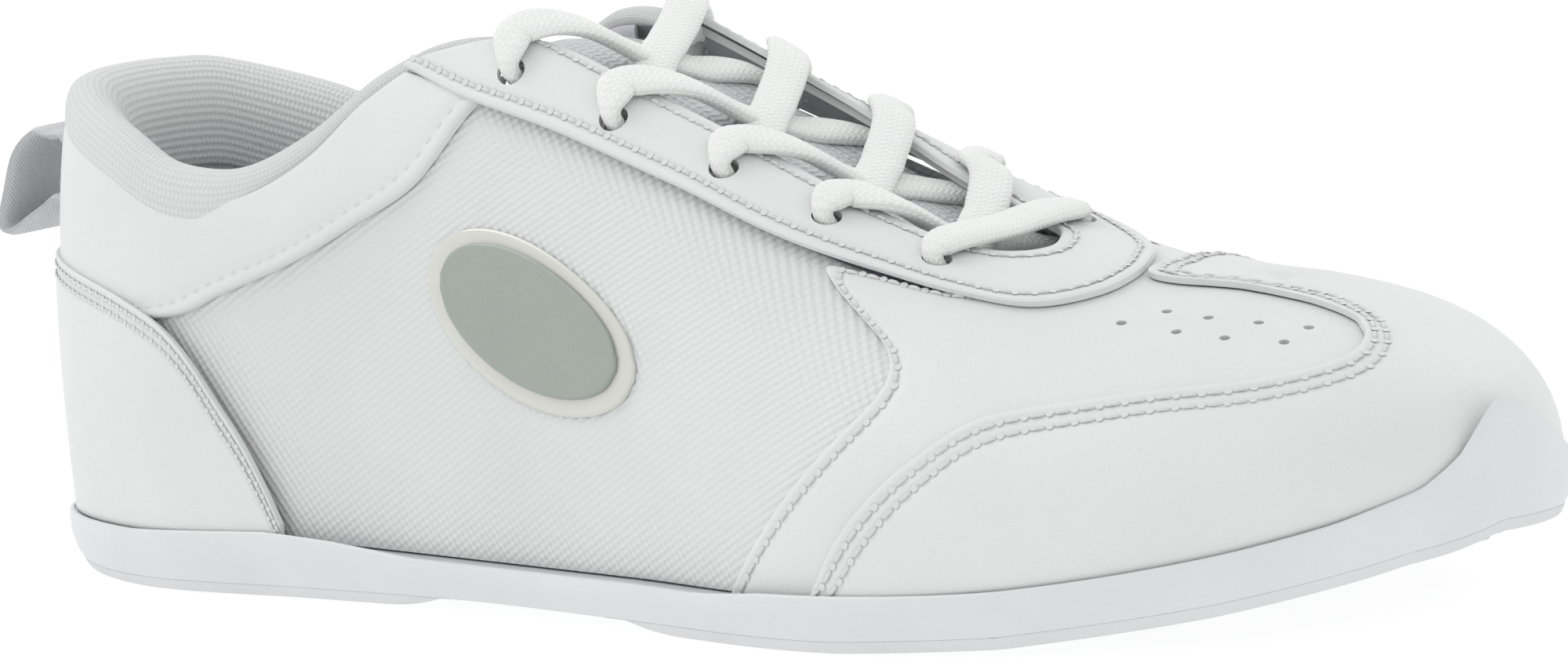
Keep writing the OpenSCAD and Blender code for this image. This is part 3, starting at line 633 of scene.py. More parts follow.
def cloth(name, colour, kind, pitch_mm, strength=0.5, sheen=0.35, rough=0.85, shade=0.8):
    """Woven, knitted or braided yarn laid along the piece's own length and width."""
    n = Nodes(name)
    uv = n.add("ShaderNodeSeparateXYZ", {"Vector": n.where("UV")})
    k = 2 * math.pi / pitch_mm
    u = n.math("MULTIPLY", uv.outputs["X"], k)
    v = n.math("MULTIPLY", uv.outputs["Y"], k)
    if kind == "braid":
        b = n.math("SINE", n.math("MULTIPLY", v, 0.5))
        a = n.math("SINE", n.math("ADD", n.math("MULTIPLY", u, 0.7), n.math("MULTIPLY", b, 1.9)))
        height = n.math("ADD", n.math("MULTIPLY", a, 0.7), n.math("MULTIPLY", n.math("ABSOLUTE", b), 0.5))
    elif kind == "knit":
        b = n.math("SINE", n.math("MULTIPLY", v, 0.5))
        a = n.math("SINE", n.math("ADD", u, n.math("MULTIPLY", b, 1.2)))
        height = n.math("ADD", n.math("MULTIPLY", a, 0.6), n.math("MULTIPLY", n.math("SINE", v), 0.6))
    else:
        a = n.math("MULTIPLY", n.math("SINE", u), n.math("SINE", v))
        b = n.math("MULTIPLY", n.math("COSINE", u), n.math("COSINE", v))
        height = n.math("MAXIMUM", a, b)
    fuzz = n.noise(2200, 3).outputs[0]
    height = n.math("ADD", height, n.math("MULTIPLY", fuzz, 0.5))
    ridge = n.add("ShaderNodeMapRange", {"Value": height, "From Min": -0.8, "From Max": 1.2})
    patches = n.blend(n.noise(45, 4).outputs[0], tone(colour, 0.94), tone(colour, 1.03))
    # Painted shade: the low parts of the weave are darkened by the shade factor, and the yarn tops keep the
    # colour.
    n.put(n.shader.inputs["Base Color"], n.blend(ridge.outputs[0], tone(colour, shade), patches))
    n.shader.inputs["Roughness"].default_value = rough
    n.shader.inputs["Sheen Weight"].default_value = sheen
    n.shader.inputs["Sheen Roughness"].default_value = 0.4
    n.bump(height, strength, 0.00025)
    return n.material


def moulded(name, colour, rough, clear=0.0, scale=1200, strength=0.08):
    """Moulded sole rubber or plastic with a faint texture and scuffs."""
    n = Nodes(name)
    spots = n.noise(70, 6).outputs[0]
    scuffs = n.add("ShaderNodeMapRange", {"Value": spots, "From Min": 0.35, "From Max": 0.72})
    n.put(n.shader.inputs["Base Color"], n.blend(scuffs.outputs[0], tone(colour, 0.96), tone(colour, 1.01)))
    n.put(n.shader.inputs["Roughness"], n.math("ADD", rough, n.math("MULTIPLY", scuffs.outputs[0], 0.08)))
    n.shader.inputs["Coat Weight"].default_value = clear
    grain(n, scale, strength)
    return n.material


FINISH = {}


def finish(name):
    """The named finish, made once from the shoe's colours."""
    if name in FINISH:
        return FINISH[name]
    p = sizes()
    upper, sole = tuple(p.upper_colour), tuple(p.sole_colour)
    lining, knit = tuple(p.lining_colour), tuple(p.knit_colour)
    made = {
        "leather": lambda: leather("smooth_leather", upper, 0.46, strength=p.grain_depth),
        "embossed": lambda: leather("embossed_leather", tone(upper, 0.985)[:3], 0.5, 1300, p.grain_depth * 1.8,
                                    lambda n: pips(n, 1.15)),
        "raw": lambda: cloth("cut_edge", (0.46, 0.48, 0.47), "weave", 0.5, 0.5, 0.1),
        "sole": lambda: moulded("sole_wall", sole, 0.42, 0.1, 1100, 0.14),
        "tread": lambda: moulded("tread_rubber", tone(sole, 0.985)[:3], 0.6, 0.0, 900, 0.2),
        "lining": lambda: cloth("lining_fabric", lining, "weave", 0.7, 0.3, shade=0.92),
        "mesh": lambda: cloth("spacer_mesh", knit, "knit", 1.5, 0.9),
        "binding": lambda: cloth("collar_binding", tone(upper, 0.98)[:3], "knit", 0.9, 0.45, shade=0.88),
        "footbed": lambda: cloth("footbed_cloth", tone(lining, 1.05)[:3], "weave", 0.8, 0.4),
        "lace": lambda: cloth("lace_braid", tuple(p.lace_colour), "braid", 0.75, 0.4, 0.3, shade=0.9),
        "tape": lambda: cloth("loop_tape", tone(knit, 1.02)[:3], "weave", 0.7, 0.6, 0.3),
        "thread": lambda: cloth("thread", tone(upper, 0.95)[:3], "weave", 0.4, 0.4, 0.3, 0.7),
        # Near-black painted shade for the needle holes of the stitching.
        "hole_shade": lambda: cloth("needle_hole_painted_shade", (0.07, 0.075, 0.075), "weave", 0.5, 0.2, 0.0),
        "tip": lambda: moulded("lace_tip", (0.8, 0.8, 0.8), 0.2, 0.6),
        "rim": lambda: moulded("badge_rim", tuple(p.rim_colour), 0.22, 0.7, 500, 0.05),
        "inlay": lambda: moulded("badge_inlay", tuple(p.inlay_colour), 0.3, 0.4, 2600, 0.3),
        "board": lambda: cloth("fibre_board", (0.5, 0.42, 0.3), "weave", 1.0, 0.3, 0.0),
        "stiffener": lambda: cloth("stiffener_sheet", (0.55, 0.55, 0.55), "weave", 0.9, 0.3, 0.0),
    }[name]()
    FINISH[name] = made
    return made


def length(name, text, default, low, high):
    return FloatProperty(name=name, description=text, default=default, min=low, max=high, unit="LENGTH",
                         precision=4)


def colour(name, text, default):
    return FloatVectorProperty(name=name, description=text, subtype="COLOR", default=default, min=0, max=1)


class CheerShoeSizes(bpy.types.PropertyGroup):
    """Sizes and colours of the shoe's pieces."""

    stitch_pitch: length("Stitch pitch", "Distance from one stitch to the next", 0.0028, 0.002, 0.005)
    thread_thick: length("Thread", "Thickness of the sewing thread", 0.0007, 0.0004, 0.0012)
    lace_width: length("Lace width", "Width of the flat lace", 0.0068, 0.004, 0.008)
    lace_thick: length("Lace thickness", "Thickness of the flat lace", 0.0027, 0.0016, 0.0032)
    grain_depth: FloatProperty(name="Grain", description="Depth of the leather grain", default=0.16, min=0.0,
                               max=0.6)
    upper_colour: colour("Upper", "Colour of the leather", (0.665, 0.688, 0.678))
    sole_colour: colour("Sole", "Colour of the sole", (0.66, 0.665, 0.678))
    lining_colour: colour("Lining", "Colour of the lining", (0.57, 0.565, 0.62))
    knit_colour: colour("Knit", "Colour of the tongue and collar knit", (0.66, 0.67, 0.68))
    lace_colour: colour("Lace", "Colour of the lace", (0.80, 0.81, 0.80))
    inlay_colour: colour("Badge inlay", "Colour of the badge's film", (0.30, 0.34, 0.30))
    rim_colour: colour("Badge rim", "Colour of the badge's rim", (0.60, 0.60, 0.56))


# ---------------------------------------------------------------- pieces
def ring_mesh(name, levels, sharp=40.0):
    """A closed solid through outline rings; each level gives its points in mm."""
    q = np.array(levels)
    k, m = q.shape[:2]
    faces = grid_faces(k, m, closed=True)
    faces += [list(range(m - 1, -1, -1)), [(k - 1) * m + j for j in range(m)]]
    run = np.concatenate([[0], np.cumsum(np.linalg.norm(np.diff(q[k // 2], axis=0), axis=1))])
    rise = np.concatenate([[0], np.cumsum(np.linalg.norm(np.diff(q, axis=0), axis=2).mean(1))])
    uv = np.stack(np.broadcast_arrays(run[None, :], rise[:, None]), -1).reshape(-1, 2)
    return outward(mesh_object(name, q.reshape(-1, 3), faces, uv, (), sharp))


def make_sole():
    s = (np.arange(240) + 0.5) * 2 * N / 240
    u, f = under(s), feather(s) - 0.3
    rise = np.maximum(lip(s), 0) + 0.4
    out = TOP + 1.1
    middle = (u + 2 + f) / 2 + 1
    levels = [edge(s, -4, u + 2.1), edge(s, out - 1.7, u + 2.1), edge(s, out - 1.25, u + 2.8),
              edge(s, out - 0.7, u + 3.9), edge(s, out - 0.3, (u + 3.9) * 0.5 + middle * 0.5),
              edge(s, out, middle), edge(s, out + 0.02, middle * 0.45 + f * 0.55), edge(s, out - 0.02, f),
              edge(s, out - 0.1, f + rise * 0.6), edge(s, out - 0.32, f + rise * 0.92),
              edge(s, out - 0.55, f + rise),
              edge(s, TOP + 0.3, f + rise * 0.96), edge(s, TOP + 0.3, f + 0.1), edge(s, TOP + 0.1, f)]
    made = ring_mesh("sole_wall", levels)
    dress(made, "sole_foam", finish("sole"))
    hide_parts("midsole")
    for name, centre, reach, count, node in (("heel_pad", 0, 3.85, 120, "outsole_heel"),
                                             ("ball_pad", N, 5.1, 170, "outsole_forefoot")):
        levels = []
        for e, z, k in ((-2.6, 0, 0.97), (0, 0, 0.985), (0.9, 0.12, 0.994), (1.5, 0.4, 1.0), (2.0, 0.9, 1.004),
                        (2.35, 1.5, 1.006), (2.55, 2.09, 1.006), (-2.6, 2.09, 0.97)):
            t = centre + reach * k * np.linspace(-1, 1, count)
            run = (1 - np.abs(np.linspace(-1, 1, count))) * reach * 36
            toe_in = 2.1 * np.clip(1 - run / 14, 0, 1) ** 2
            levels.append(edge(t, e, under(t) + np.maximum(z, np.minimum(z + toe_in, 2.08))))
        made = ring_mesh(name, levels)
        dress(made, "sole_rubber", finish("tread"))
        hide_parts(node)
    grooves("ball_grooves", N + np.linspace(-4.4, 4.4, 17), -3.0)
    grooves("heel_grooves", np.linspace(-3.1, 3.1, 9), -3.0)


def grooves(name, stations, inset):
    """Shallow flex ribs across the pads, joining the outer and inner side."""
    points, faces = [], []
    for s in stations:
        if abs(half(s) - 10) < 0.4 or half(s) < 0.3:
            continue
        a, b = edge(s, inset, under(s)), edge(-s if abs(s) < 5 else 2 * N - s, inset, under(s))
        line = a[None] + (b - a)[None] * np.linspace(0, 0.46, 14)[:, None]
        line[:, 0] += 1.6 * np.sin(np.linspace(0, 9, 14))
        base = len(points)
        for p in line:
            for j in range(6):
                g = math.pi * j / 5
                points.append(p + [0.8 * math.cos(g), 0, 0.3 - 0.3 * math.sin(g)])
        faces += grid_faces(14, 6, base)
    if points:
        made = mesh_object(name, points, faces)
        solid = made.modifiers.new("body", "SOLIDIFY")
        solid.thickness = 0.0003
        solid.offset = 1
        dress(made, "sole_rubber", finish("tread"))


def make_panels():
    stay = strip_columns(STAY_OUT, STAY_IN, 150, 12, 0.16)
    vamp = strip_columns(VAMP_LO, VAMP_UP, 120, 26)
    guard = guard_columns(170, 34)
    heel = strip_columns(HEEL_LO, HEEL_UP, 120, 22)
    layer = lambda k: (TOP - k * STEP - SKIN, TOP - k * STEP)
    made = leather_panel("eyestay_panel", stay, *layer(0), seams=[("low", 2.2), ("high", 2.6)],
                         raw_sides=("low",))
    cut(made, [punch(q, 2.3) for q in EYES + EYES_IN])
    dress(made, "leather_upper", finish("leather"), finish("raw"))
    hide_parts("eyestay")
    made = leather_panel("vamp_panel", vamp, *layer(1), seams=[("low", 2.0)])
    cut(made, [punch(q, 0.8) for q in VENTS])
    dress(made, "leather_upper", finish("leather"), finish("raw"))
    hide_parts("vamp")
    made = leather_panel("toe_guard_panel", guard, *layer(0), seams=[("high", 2.0), ("high", 4.3)])
    dress(made, "leather_upper", finish("leather"), finish("raw"))
    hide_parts("toe_guard")
    made = leather_panel("heel_panel", heel, *layer(0), seams=[("high", 1.6), ("high", 3.4)])
    dress(made, "leather_upper", finish("leather"), finish("raw"))
    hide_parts("heel_cover")
    for side, turn in (("lateral", list), ("medial", mirror)):
        quarter = strip_columns(turn(QUARTER_LO), turn(QUARTER_UP), 120, 46)
        made = leather_panel(f"quarter_{side}_panel", quarter, *layer(2))
        dress(made, "embossed_upper", finish("embossed"), finish("raw"))
        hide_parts(f"quarter_{side}")
        collar = strip_columns(turn(COLLAR_LO), turn(COLLAR_UP), 90, 24, 0.08)
        made = leather_panel(f"collar_{side}_panel", collar, *layer(1), seams=[("low", 2.0)], puff=0.7,
                             raw_sides=("low",))
        dress(made, "leather_upper", finish("leather"), finish("raw"))
        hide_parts(f"collar_panel_{side}")


def make_stitching():
    p = sizes()
    pitch, thick = p.stitch_pitch * 1000, p.thread_thick * 1000
    stay = strip_columns(STAY_OUT, STAY_IN, 200, 12, 0.16)
    vamp = strip_columns(VAMP_LO, VAMP_UP, 160, 26)
    guard = guard_columns(200, 34)
    heel = strip_columns(HEEL_LO, HEEL_UP, 160, 22)
    rows = {
        "eyestay_stitching": ([at(stay, "low", 2.2, TOP), at(stay, "high", 2.6, TOP)], pitch, thick),
        "vamp_stitching": ([at(vamp, "low", 2.0, TOP - STEP)], pitch * 1.2, thick),
        "toe_guard_stitching": ([at(guard, "high", 2.0, TOP), at(guard, "high", 4.3, TOP)], pitch * 1.3, thick),
        "heel_stitching": ([at(heel, "high", 1.6, TOP), at(heel, "high", 3.4, TOP)], pitch * 0.8, thick * 0.8),
    }
    for side, turn in (("lateral", list), ("medial", mirror)):
        collar = strip_columns(turn(COLLAR_LO), turn(COLLAR_UP), 120, 24, 0.08)
        rows[f"collar_{side}_stitching"] = ([at(collar, "low", 2.0, TOP - STEP)], pitch, thick)
    for name, (lines, step, width) in rows.items():
        made = stitching(name, lines, step, width)
        # The hole faces of each row take the near-black finish: painted shade in the needle holes.
        dress(made, "leather_upper", finish("thread"), finish("hole_shade"))


# Cross sections of the knit band and of the leather roll at the heel: degrees above the rim, depth in mm
BAND = [[-1.8, 0.2], [-0.6, 0.28], [-0.1, 0.5], [0.5, 1.1], [1.4, 1.45], [2.6, 1.25], [3.7, 0.4], [4, -0.8],
        [3.8, -1.9], [3.2, -2.8], [2.3, -2.6], [1, -1.3], [-1.8, -0.6]]
ROLL = [[-3.2, 0.9], [-2.4, 1.95], [-1.2, 2.3], [0.5, 2.35], [2.2, 1.75], [3.8, 0.1], [4.8, -2.4], [4.8, -5.4],
        [3.6, -8], [1.2, -9.7], [-3, -10.3], [-5.5, -9.2], [-2, -3]]


def make_collar():
    s = np.linspace(-3.9, 3.9, 181)
    e = rim(s)
    b = e - 15
    profile = [body(s, 1.5, -4.6), sunk(s, b - 1.5, -4.8), sunk(s, b + 1.5, -5.6), sunk(s, b + 4, -6.9),
               sunk(s, e - 8, -8.5), sunk(s, e - 5, -9.2), sunk(s, e - 2, -9), sunk(s, e + 0.6, -8),
               sunk(s, e + 2.4, -6.6), sunk(s, e + 3.3, -5.2), sunk(s, e + 3.4, -3.8), sunk(s, e + 2.3, -3.3),
               sunk(s, e + 1.9, -4.9), sunk(s, e - 1.5, -7.6), sunk(s, e - 6, -7.8), sunk(s, b + 4, -5.7),
               sunk(s, b - 1.5, -3.6), body(s, 1.5, -3.4)]
    made = sweep("collar_lining_pad", np.array(profile).transpose(1, 0, 2), sharp=60)
    dress(made, "lining_cloth", finish("lining"))
    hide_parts("collar_lining", "collar_foam")
    s = np.linspace(-4.28, 4.28, 241)
    e = rim(s)
    heel = np.clip((3.0 - np.abs(s)) / 0.55, 0, 1)
    heel = (heel * heel * (3 - 2 * heel))[:, None, None]
    t = np.linspace(0, 1, 44)
    line = along(BAND, t)[None] * (1 - heel) + along(ROLL, t)[None] * heel
    made = sweep("collar_binding_band", sunk(s[:, None], e[:, None] + line[..., 0], line[..., 1]), sharp=70)
    paint(made, [k * 44 + j for k in range(240) if abs(s[k]) < 2.72 for j in range(44)])
    dress(made, "knit", finish("binding"), finish("leather"))
    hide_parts("topline_binding")
    for side, turn in (("lateral", list), ("medial", mirror)):
        columns = strip_columns(turn(LINING_LO), turn(LINING_UP), 60, 24)
        made = leather_panel(f"lining_{side}_sheet", columns, TOP - 3 * STEP - SKIN, TOP - 3 * STEP, roll=0.4)
        dress(made, "lining_cloth", finish("lining"), finish("lining"))
        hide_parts(f"lining_{side}")


TONGUE_LO = [[3.7, 75], [3.85, 70], [4.06, 66], [4.6, 62.5], [5.3, 62.5], [6, 64], [6.75, 67]]
TONGUE_UP = [[3.7, 105], [3.85, 110], [4.06, 114], [4.6, 118], [5.3, 116], [6, 110], [6.75, 103]]


def make_tongue():
    s_mid = np.linspace(3.7, 6.75, 120)
    knots = [q[0] for q in TONGUE_LO]
    low, high = (np.interp(s_mid, knots, [q[1] for q in k]) for k in (TONGUE_LO, TONGUE_UP))
    top_d = np.interp(s_mid, [3.7, 3.85, 4.0, 4.15, 4.5, 6.75], [-11.5, -7.6, -4.8, -3.3, -2.1, -2.1])
    thick = np.interp(s_mid, [3.7, 3.73, 3.8, 3.95, 4.3, 6.6, 6.75], [1.2, 3.2, 5, 5.4, 4.8, 4.6, 2.4])
    sections = []
    shares = np.linspace(-1, 1, 25)
    full = np.sqrt(np.clip(1 - np.abs(shares) ** 6, 0, 1))
    for k in range(len(s_mid)):
        p = (low[k] + high[k]) / 2 + (high[k] - low[k]) / 2 * shares
        up = top_d[k] - thick[k] * 0.5 * (1 - full) - 0.15
        down = top_d[k] - thick[k] * (0.5 + 0.5 * full)
        a, b = body(s_mid[k], p, up), body(s_mid[k], p, down)
        sections.append(np.concatenate([a, b[-2:0:-1]]))
    made = sweep("tongue_pad", sections, sharp=70)
    paint(made, [k * 48 + j for k in range(119) if s_mid[k] < 4.4 for j in range(48)])
    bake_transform(made, "tongue_top", "shoe", start=(-0.0205, 0, 0.0835), end=(-0.0135, 0, 0.0835))
    dress(made, "knit", finish("mesh"), finish("leather"))
    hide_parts("tongue_face", "tongue_foam", "tongue_lining", "tongue_top")


LACE_THICK = 2.4
INSIDE = TOP - 3 * STEP


def lead(q, k):
    return [q[0], q[1] + k, TOP + 1.6, 5.0, LACE_THICK]


def down(q):
    k = 1 if q[1] < 90 else -1
    return [[q[0], q[1], TOP + 0.45, 2.8, 2.5], [q[0], q[1], 1, 2.8, 2.4],
            [q[0], q[1] + k, INSIDE + 0.1, 3, 2.4]]


def cross_over(a, b, d):
    """From eyelet a, under the edge, across the tongue and over the other edge to eyelet b."""
    k = 1 if a[1] < 90 else -1
    mix = lambda t: [a[0] * (1 - t) + b[0] * t, a[1] * (1 - t) + b[1] * t]
    thick = LACE_THICK
    return down(a) + [[a[0] - 0.06, a[1] + k * 7, INSIDE, 4.6, thick],
                      [*mix(0.28), INSIDE + 0.2, 6, thick],
                      [*mix(0.5), INSIDE + d, 6, thick],
                      [*mix(0.72), TOP + (0.6 if k > 0 else 0) + thick / 2, 6, thick],
                      [b[0], b[1] - k * 7, TOP + 0.3 + thick / 2, 6, thick], lead(b, -k * 2.6)]


def tail(q, k):
    thick = LACE_THICK
    return [[q[0] + 0.05, q[1] - k * 6, INSIDE - 3, 3, 2], [q[0] + 0.12, q[1] - k * 14, INSIDE - 5, 6, thick],
            [q[0] + 0.25, q[1] - k * 24, INSIDE - 5.6, 6, thick], [q[0] + 0.5, q[1] - k * 33, INSIDE - 6, 4, 2],
            [q[0] + 0.75, q[1] - k * 38, INSIDE - 6.4, 2.6, 2.4]]


def lace_route():
    e, f = EYES, EYES_IN
    one = (cross_over(e[4], f[3], 2.7) + cross_over(f[3], e[2], 0.2) + cross_over(e[2], f[1], 2.7)
           + cross_over(f[1], e[0], 0.2) + down(e[0]) + tail(e[0], 1))
    two = (cross_over(f[4], e[3], 0.2) + cross_over(e[3], f[2], 2.7) + cross_over(f[2], e[1], 0.2)
           + cross_over(e[1], f[0], 2.7) + down(f[0]) + tail(f[0], -1))
    near = TOP + 0.5 + LACE_THICK / 2
    bar = [lead(f[4], -2.6), [6.2, 96, near, 6, LACE_THICK], [6.2, 85, near - 0.5, 6, LACE_THICK],
           [6.2, 74, near, 6, LACE_THICK], lead(e[4], 2.6)]
    return two[::-1] + bar + one


def make_lace():
    p = sizes()
    wide, thick = p.lace_width * 1000 / 6, p.lace_thick * 1000 / LACE_THICK
    route = lace_route()
    q = along(route, np.linspace(0, 1, 900))
    c = body(q[:, 0], q[:, 1], q[:, 2])
    run = np.concatenate([[0], np.cumsum(np.linalg.norm(np.diff(c, axis=0), axis=1))])
    even = np.linspace(0, run[-1], int(run[-1] / 0.9))
    q = np.stack([np.interp(even, run, q[:, k]) for k in range(5)], -1)
    c = body(q[:, 0], q[:, 1], q[:, 2])
    t = np.gradient(c, axis=0)
    t /= np.linalg.norm(t, axis=1)[:, None]
    w = body(q[:, 0] + 0.05, q[:, 1], q[:, 2]) - body(q[:, 0] - 0.05, q[:, 1], q[:, 2])
    w -= t * np.sum(w * t, 1)[:, None]
    w /= np.linalg.norm(w, axis=1)[:, None]
    for k in range(1, len(w)):
        if np.dot(w[k], w[k - 1]) < 0:
            w[k] = -w[k]
    h = np.cross(t, w)
    angle = np.linspace(0, 2 * math.pi, 24, endpoint=False)
    x = np.sign(np.cos(angle)) * np.abs(np.cos(angle)) ** 0.85
    y = np.sign(np.sin(angle)) * np.abs(np.sin(angle)) ** 0.95
    groove = 1 - 0.06 * np.exp(-((np.cos(angle) / 0.22) ** 2))
    sections = (c[:, None] + w[:, None] * (q[:, 3, None, None] * wide / 2 * x[None, :, None])
                + h[:, None] * (q[:, 4, None, None] * thick / 2 * (y * groove)[None, :, None]))
    made = sweep("lace_braid_flat", sections, sharp=80)
    dress(made, "lace_braid", finish("lace"))
    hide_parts("lace")
    for side, i, j in (("lateral", -1, -4), ("medial", 0, 3)):
        a, v = c[i], (c[i] - c[j]) / np.linalg.norm(c[i] - c[j])
        n = np.cross(v, [0, 0, 1.0])
        n /= np.linalg.norm(n)
        m = np.cross(v, n)
        rings = []
        for x, r in ((-1.2, 1.15), (-1, 1.32), (0.4, 1.36), (0.6, 1.28), (8, 1.2), (8.8, 1.15), (9.3, 0.8)):
            g = np.linspace(0, 2 * math.pi, 18, endpoint=False)
            rings.append(a + v * x + r * (np.cos(g)[:, None] * n + np.sin(g)[:, None] * m))
        tip = sweep(f"lace_tip_{side}", rings, sharp=50)
        dress(tip, "clear_tip", finish("tip"))
        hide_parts(f"aglet_{side}")


def make_pull_loop():
    line = [[5.3 - 0.3, -2.2], [4.6, 1.4], [3.0, 3.4]] + LOOP + [[3.0, -7.6], [4.1, -9.5], [4.0, -12.0]]
    t = np.linspace(0, 1, 110)
    c = along(line, t)
    g = np.gradient(c, axis=0)
    g /= np.linalg.norm(g, axis=1)[:, None]
    n = np.stack([-g[:, 1], g[:, 0]], -1)
    half_w, half_t = LOOP_WIDTH / 2, LOOP_THICK / 2
    across = np.concatenate([np.linspace(-1, 1, 13), np.linspace(1, -1, 13)])
    lift = np.concatenate([np.ones(13), -np.ones(13)]) * np.sqrt(np.clip(1 - np.abs(across) ** 10, 0.04, 1))
    sections = []
    for k in range(len(c)):
        xz = c[k][None] + n[k][None] * (half_t * lift)[:, None]
        sections.append(np.stack([xz[:, 0] - 5.4, across * half_w, xz[:, 1] + 66], -1))
    made = sweep("pull_loop_tape", sections, sharp=70)
    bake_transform(made, "shoe", "pull_loop", start=(-0.1262, 0, 0.0643), end=(-0.1325, 0, 0.0643))
    dress(made, "loop_webbing", finish("tape"))
    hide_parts("pull_loop", "pull_loop_root")
    y = np.linspace(1.5 - half_w, half_w - 1.5, 20)
    rows = [(np.stack([np.full(20, -2.25), y, np.full(20, z)], -1), np.tile([-1.0, 0, 0], (20, 1)))
            for z in (54.9, 55.9)]
    made = stitching("pull_loop_stitching", rows, 2.2, 0.6)
    dress(made, "loop_webbing", finish("thread"), finish("thread"))


def make_badge():
    def oval(w, h, k):
        t = np.radians(6 + 168 * np.arange(9) / 8)
        return np.stack([4.42 - w * np.cos(t), 25 + k * h * np.sin(t)], -1)

    base = TOP - 2 * STEP
    for side, sign in (("lateral", 1), ("medial", -1)):
        for name, w, h, d0, d1, slot, look, node in (
                ("rim", 0.62, 9.5, base + 0.1, base + 0.8, "badge_rim", "rim", "badge_base"),
                ("film", 0.53, 7.6, base + 0.9, base + 1.6, "badge_inlay", "inlay", "badge_inlay")):
            lo, up = oval(w, h, -1), oval(w, h, 1)
            lo[:, 0] *= sign
            up[:, 0] *= sign
            made = leather_panel(f"badge_{name}_{side}", strip_columns(lo, up, 70, 18), d0, d1, roll=0.8)
            dress(made, slot, finish(look), finish(look))
            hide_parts(f"{node}_{side}")


def make_footbed():
    s = np.concatenate([np.linspace(-9.94, -0.02, 120), np.linspace(0.02, 9.94, 120)])
    e = TOP - 4 * STEP - SKIN - 0.8 - 0.5
    f = feather(s)
    levels = [edge(s, e - 3, f + 2.25), edge(s, e - 0.5, f + 2.25), edge(s, e, f + 2.8), edge(s, e, f + 5.2),
              edge(s, e - 0.4, f + 5.9), edge(s, e - 1.4, f + 6.2)]
    for k in (8, 16):
        levels.append(edge(s, e - k * 0.6, f + 6.2))
    made = ring_mesh("footbed_sheet", levels, 60)
    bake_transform(made, "shoe", "footbed_heel", start=(0.038, 0, 0.012), end=(0.023, 0, 0.012))
    dress(made, "footbed_cloth", finish("footbed"))
    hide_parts("sockliner_front", "sockliner_heel")


def finish_hidden_layers():
    stiff = ("eyestay_backer_lateral", "eyestay_backer_medial", "toe_puff", "heel_counter")
    looks = {"insole_board": "board", **{node: "stiffener" for node in stiff}}
    for node, look in looks.items():
        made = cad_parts[node]
        made.data.materials.clear()
        made.data.materials.append(finish(look))


# The camera's place and lens, in metres, degrees and millimetres
VIEW_CENTRE = Vector((0.005, 0.001, 0.04))
VIEW_TURN, VIEW_RISE, VIEW_ROLL = 40, 7.7, 5
VIEW_DISTANCE = 1.015
VIEW_LENS, VIEW_SENSOR = 151.6, 36
VIEW_SHIFT = (0.037, -0.0085)
# Each lamp's name, place (m), size (m) and power (W)
LAMPS = (("key", (-0.7, -0.3, 1.0), 0.6, 3.4), ("fill", (1.1, -0.9, 0.5), 0.9, 0.5),
         ("back", (0.3, 1.1, 0.9), 0.8, 1.6))


def make_stage():
    bpy.ops.mesh.primitive_plane_add(size=6, location=(0, 0, -0.0002))
    floor = bpy.context.object
    floor.name = "studio_floor"
    n = Nodes("studio_white")
    n.put(n.shader.inputs["Base Color"],
          n.blend(n.noise(4, 2).outputs[0], (0.24, 0.24, 0.24, 1), (0.26, 0.26, 0.26, 1)))
    n.shader.inputs["Roughness"].default_value = 0.9
    n.shader.inputs["Emission Color"].default_value = (1, 1, 1, 1)
    n.shader.inputs["Emission Strength"].default_value = 0.8
    floor.data.materials.append(n.material)
    world = bpy.data.worlds.new("studio_air")
    world.use_nodes = True
    world.node_tree.nodes["Background"].inputs["Color"].default_value = (1, 1, 1, 1)
    world.node_tree.nodes["Background"].inputs["Strength"].default_value = 0.98
    bpy.context.scene.world = world
    for name, place, size, watts in LAMPS:
        data = bpy.data.lights.new(f"{name}_light", "AREA")
        data.size = size
        data.energy = watts
        lamp = bpy.data.objects.new(f"{name}_light", data)
        lamp.location = place
        lamp.rotation_euler = (VIEW_CENTRE - Vector(place)).to_track_quat("-Z", "Y").to_euler()
        bpy.context.scene.collection.objects.link(lamp)
    bpy.context.scene.view_settings.view_transform = "Standard"
    data = bpy.data.cameras.new("studio_camera")
    camera = bpy.data.objects.new("studio_camera", data)
    bpy.context.scene.collection.objects.link(camera)
    bpy.context.scene.camera = camera
    turn, rise, roll = (math.radians(a) for a in (VIEW_TURN, VIEW_RISE, VIEW_ROLL))
    back = Vector((math.sin(turn) * math.cos(rise), -math.cos(turn) * math.cos(rise), math.sin(rise)))
    camera.rotation_mode = "QUATERNION"
    camera.location = VIEW_CENTRE + back * VIEW_DISTANCE
    tilt = Matrix.Rotation(-roll, 3, "Z").to_quaternion()
    camera.rotation_quaternion = (-back).to_track_quat("-Z", "Y") @ tilt
    data.lens, data.sensor_width = VIEW_LENS, VIEW_SENSOR
    data.shift_x, data.shift_y = VIEW_SHIFT
    data.clip_start, data.clip_end = 0.01, 20


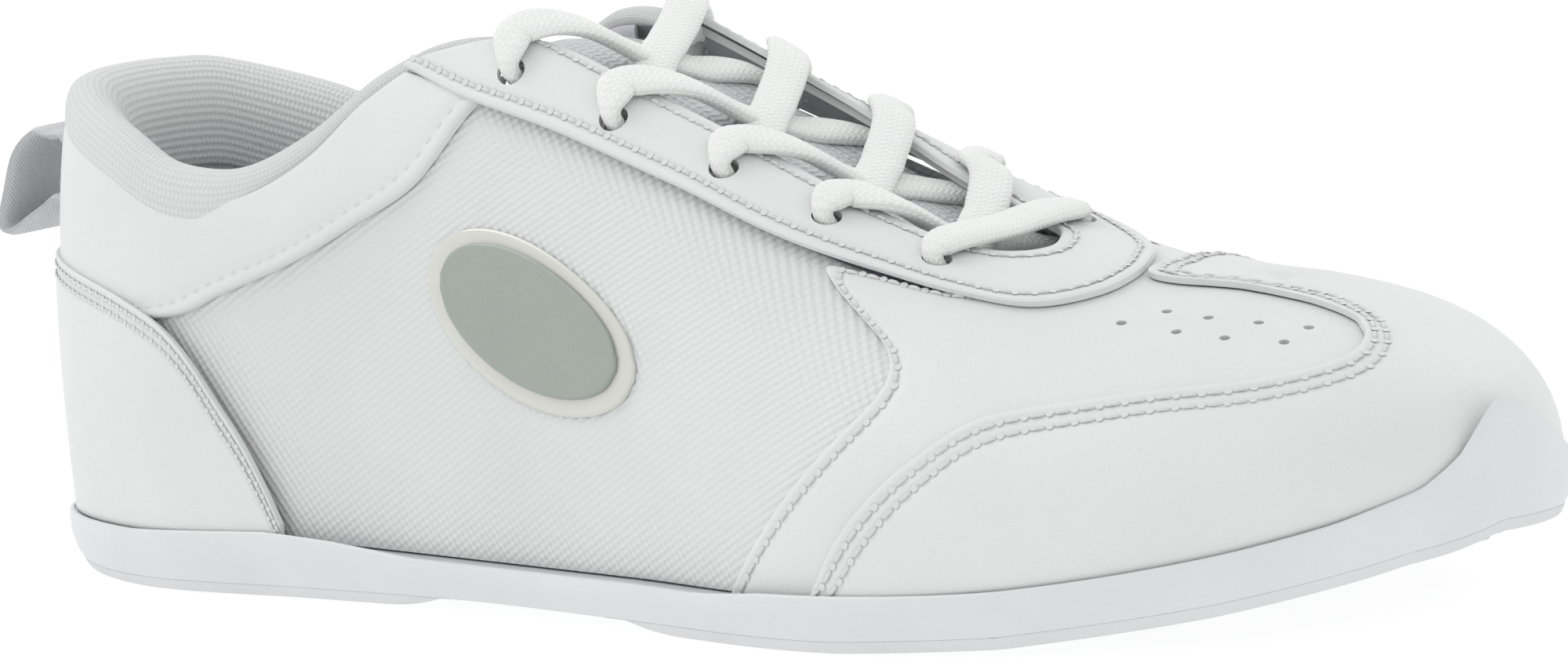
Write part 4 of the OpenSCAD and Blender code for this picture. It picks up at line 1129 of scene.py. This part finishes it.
def operator(idname, label, text, work):
    """One operator that makes a group of pieces."""
    def execute(self, context):
        work()
        return {"FINISHED"}

    return type(idname, (bpy.types.Operator,), {"__doc__": text, "bl_idname": f"cheer_shoe.{idname}",
                                                "bl_label": label, "execute": execute})


STEPS = [
    operator("sole", "Make Sole", "Moulds the sole wall and its two ground pads.", make_sole),
    operator("panels", "Make Upper Panels", "Cuts the leather panels of the upper.", make_panels),
    operator("stitching", "Sew Seams", "Sews the rows of stitches on the panels.", make_stitching),
    operator("collar", "Make Collar and Lining", "Pads and lines the collar and the forefoot.", make_collar),
    operator("tongue", "Make Tongue", "Makes the padded tongue.", make_tongue),
    operator("footbed", "Make Footbed", "Cuts the footbed.", make_footbed),
    operator("lace", "Thread Lace", "Threads the flat lace and its two tips.", make_lace),
    operator("pull_loop", "Make Pull Loop", "Sews the tape loop to the heel.", make_pull_loop),
    operator("badge", "Make Side Badges", "Fixes the plain oval badges to the quarters.", make_badge),
    operator("hidden_layers", "Finish Hidden Layers", "Gives the board and stiffeners their finishes.",
             finish_hidden_layers),
    operator("stage", "Set Up Studio", "Lays the floor and sets the lights and the camera.", make_stage),
]


class VIEW3D_PT_cheer_shoe(bpy.types.Panel):
    """Sizes, colours and making steps of the shoe."""

    bl_label = "Cheer Shoe"
    bl_space_type = "VIEW_3D"
    bl_region_type = "UI"
    bl_category = "Cheer Shoe"

    def draw(self, context):
        column = self.layout.column()
        for name in CheerShoeSizes.__annotations__:
            column.prop(context.scene.cheer_shoe, name)
        for step in STEPS:
            column.operator(step.bl_idname)


CLASSES = [CheerShoeSizes, *STEPS, VIEW3D_PT_cheer_shoe]


def register():
    for c in CLASSES:
        bpy.utils.register_class(c)
    bpy.types.Scene.cheer_shoe = PointerProperty(type=CheerShoeSizes)


def unregister():
    del bpy.types.Scene.cheer_shoe
    for c in reversed(CLASSES):
        bpy.utils.unregister_class(c)


def main():
    register()
    for step in STEPS:
        group, name = step.bl_idname.split(".")
        getattr(getattr(bpy.ops, group), name)()


if __name__ == "__main__":
    main()
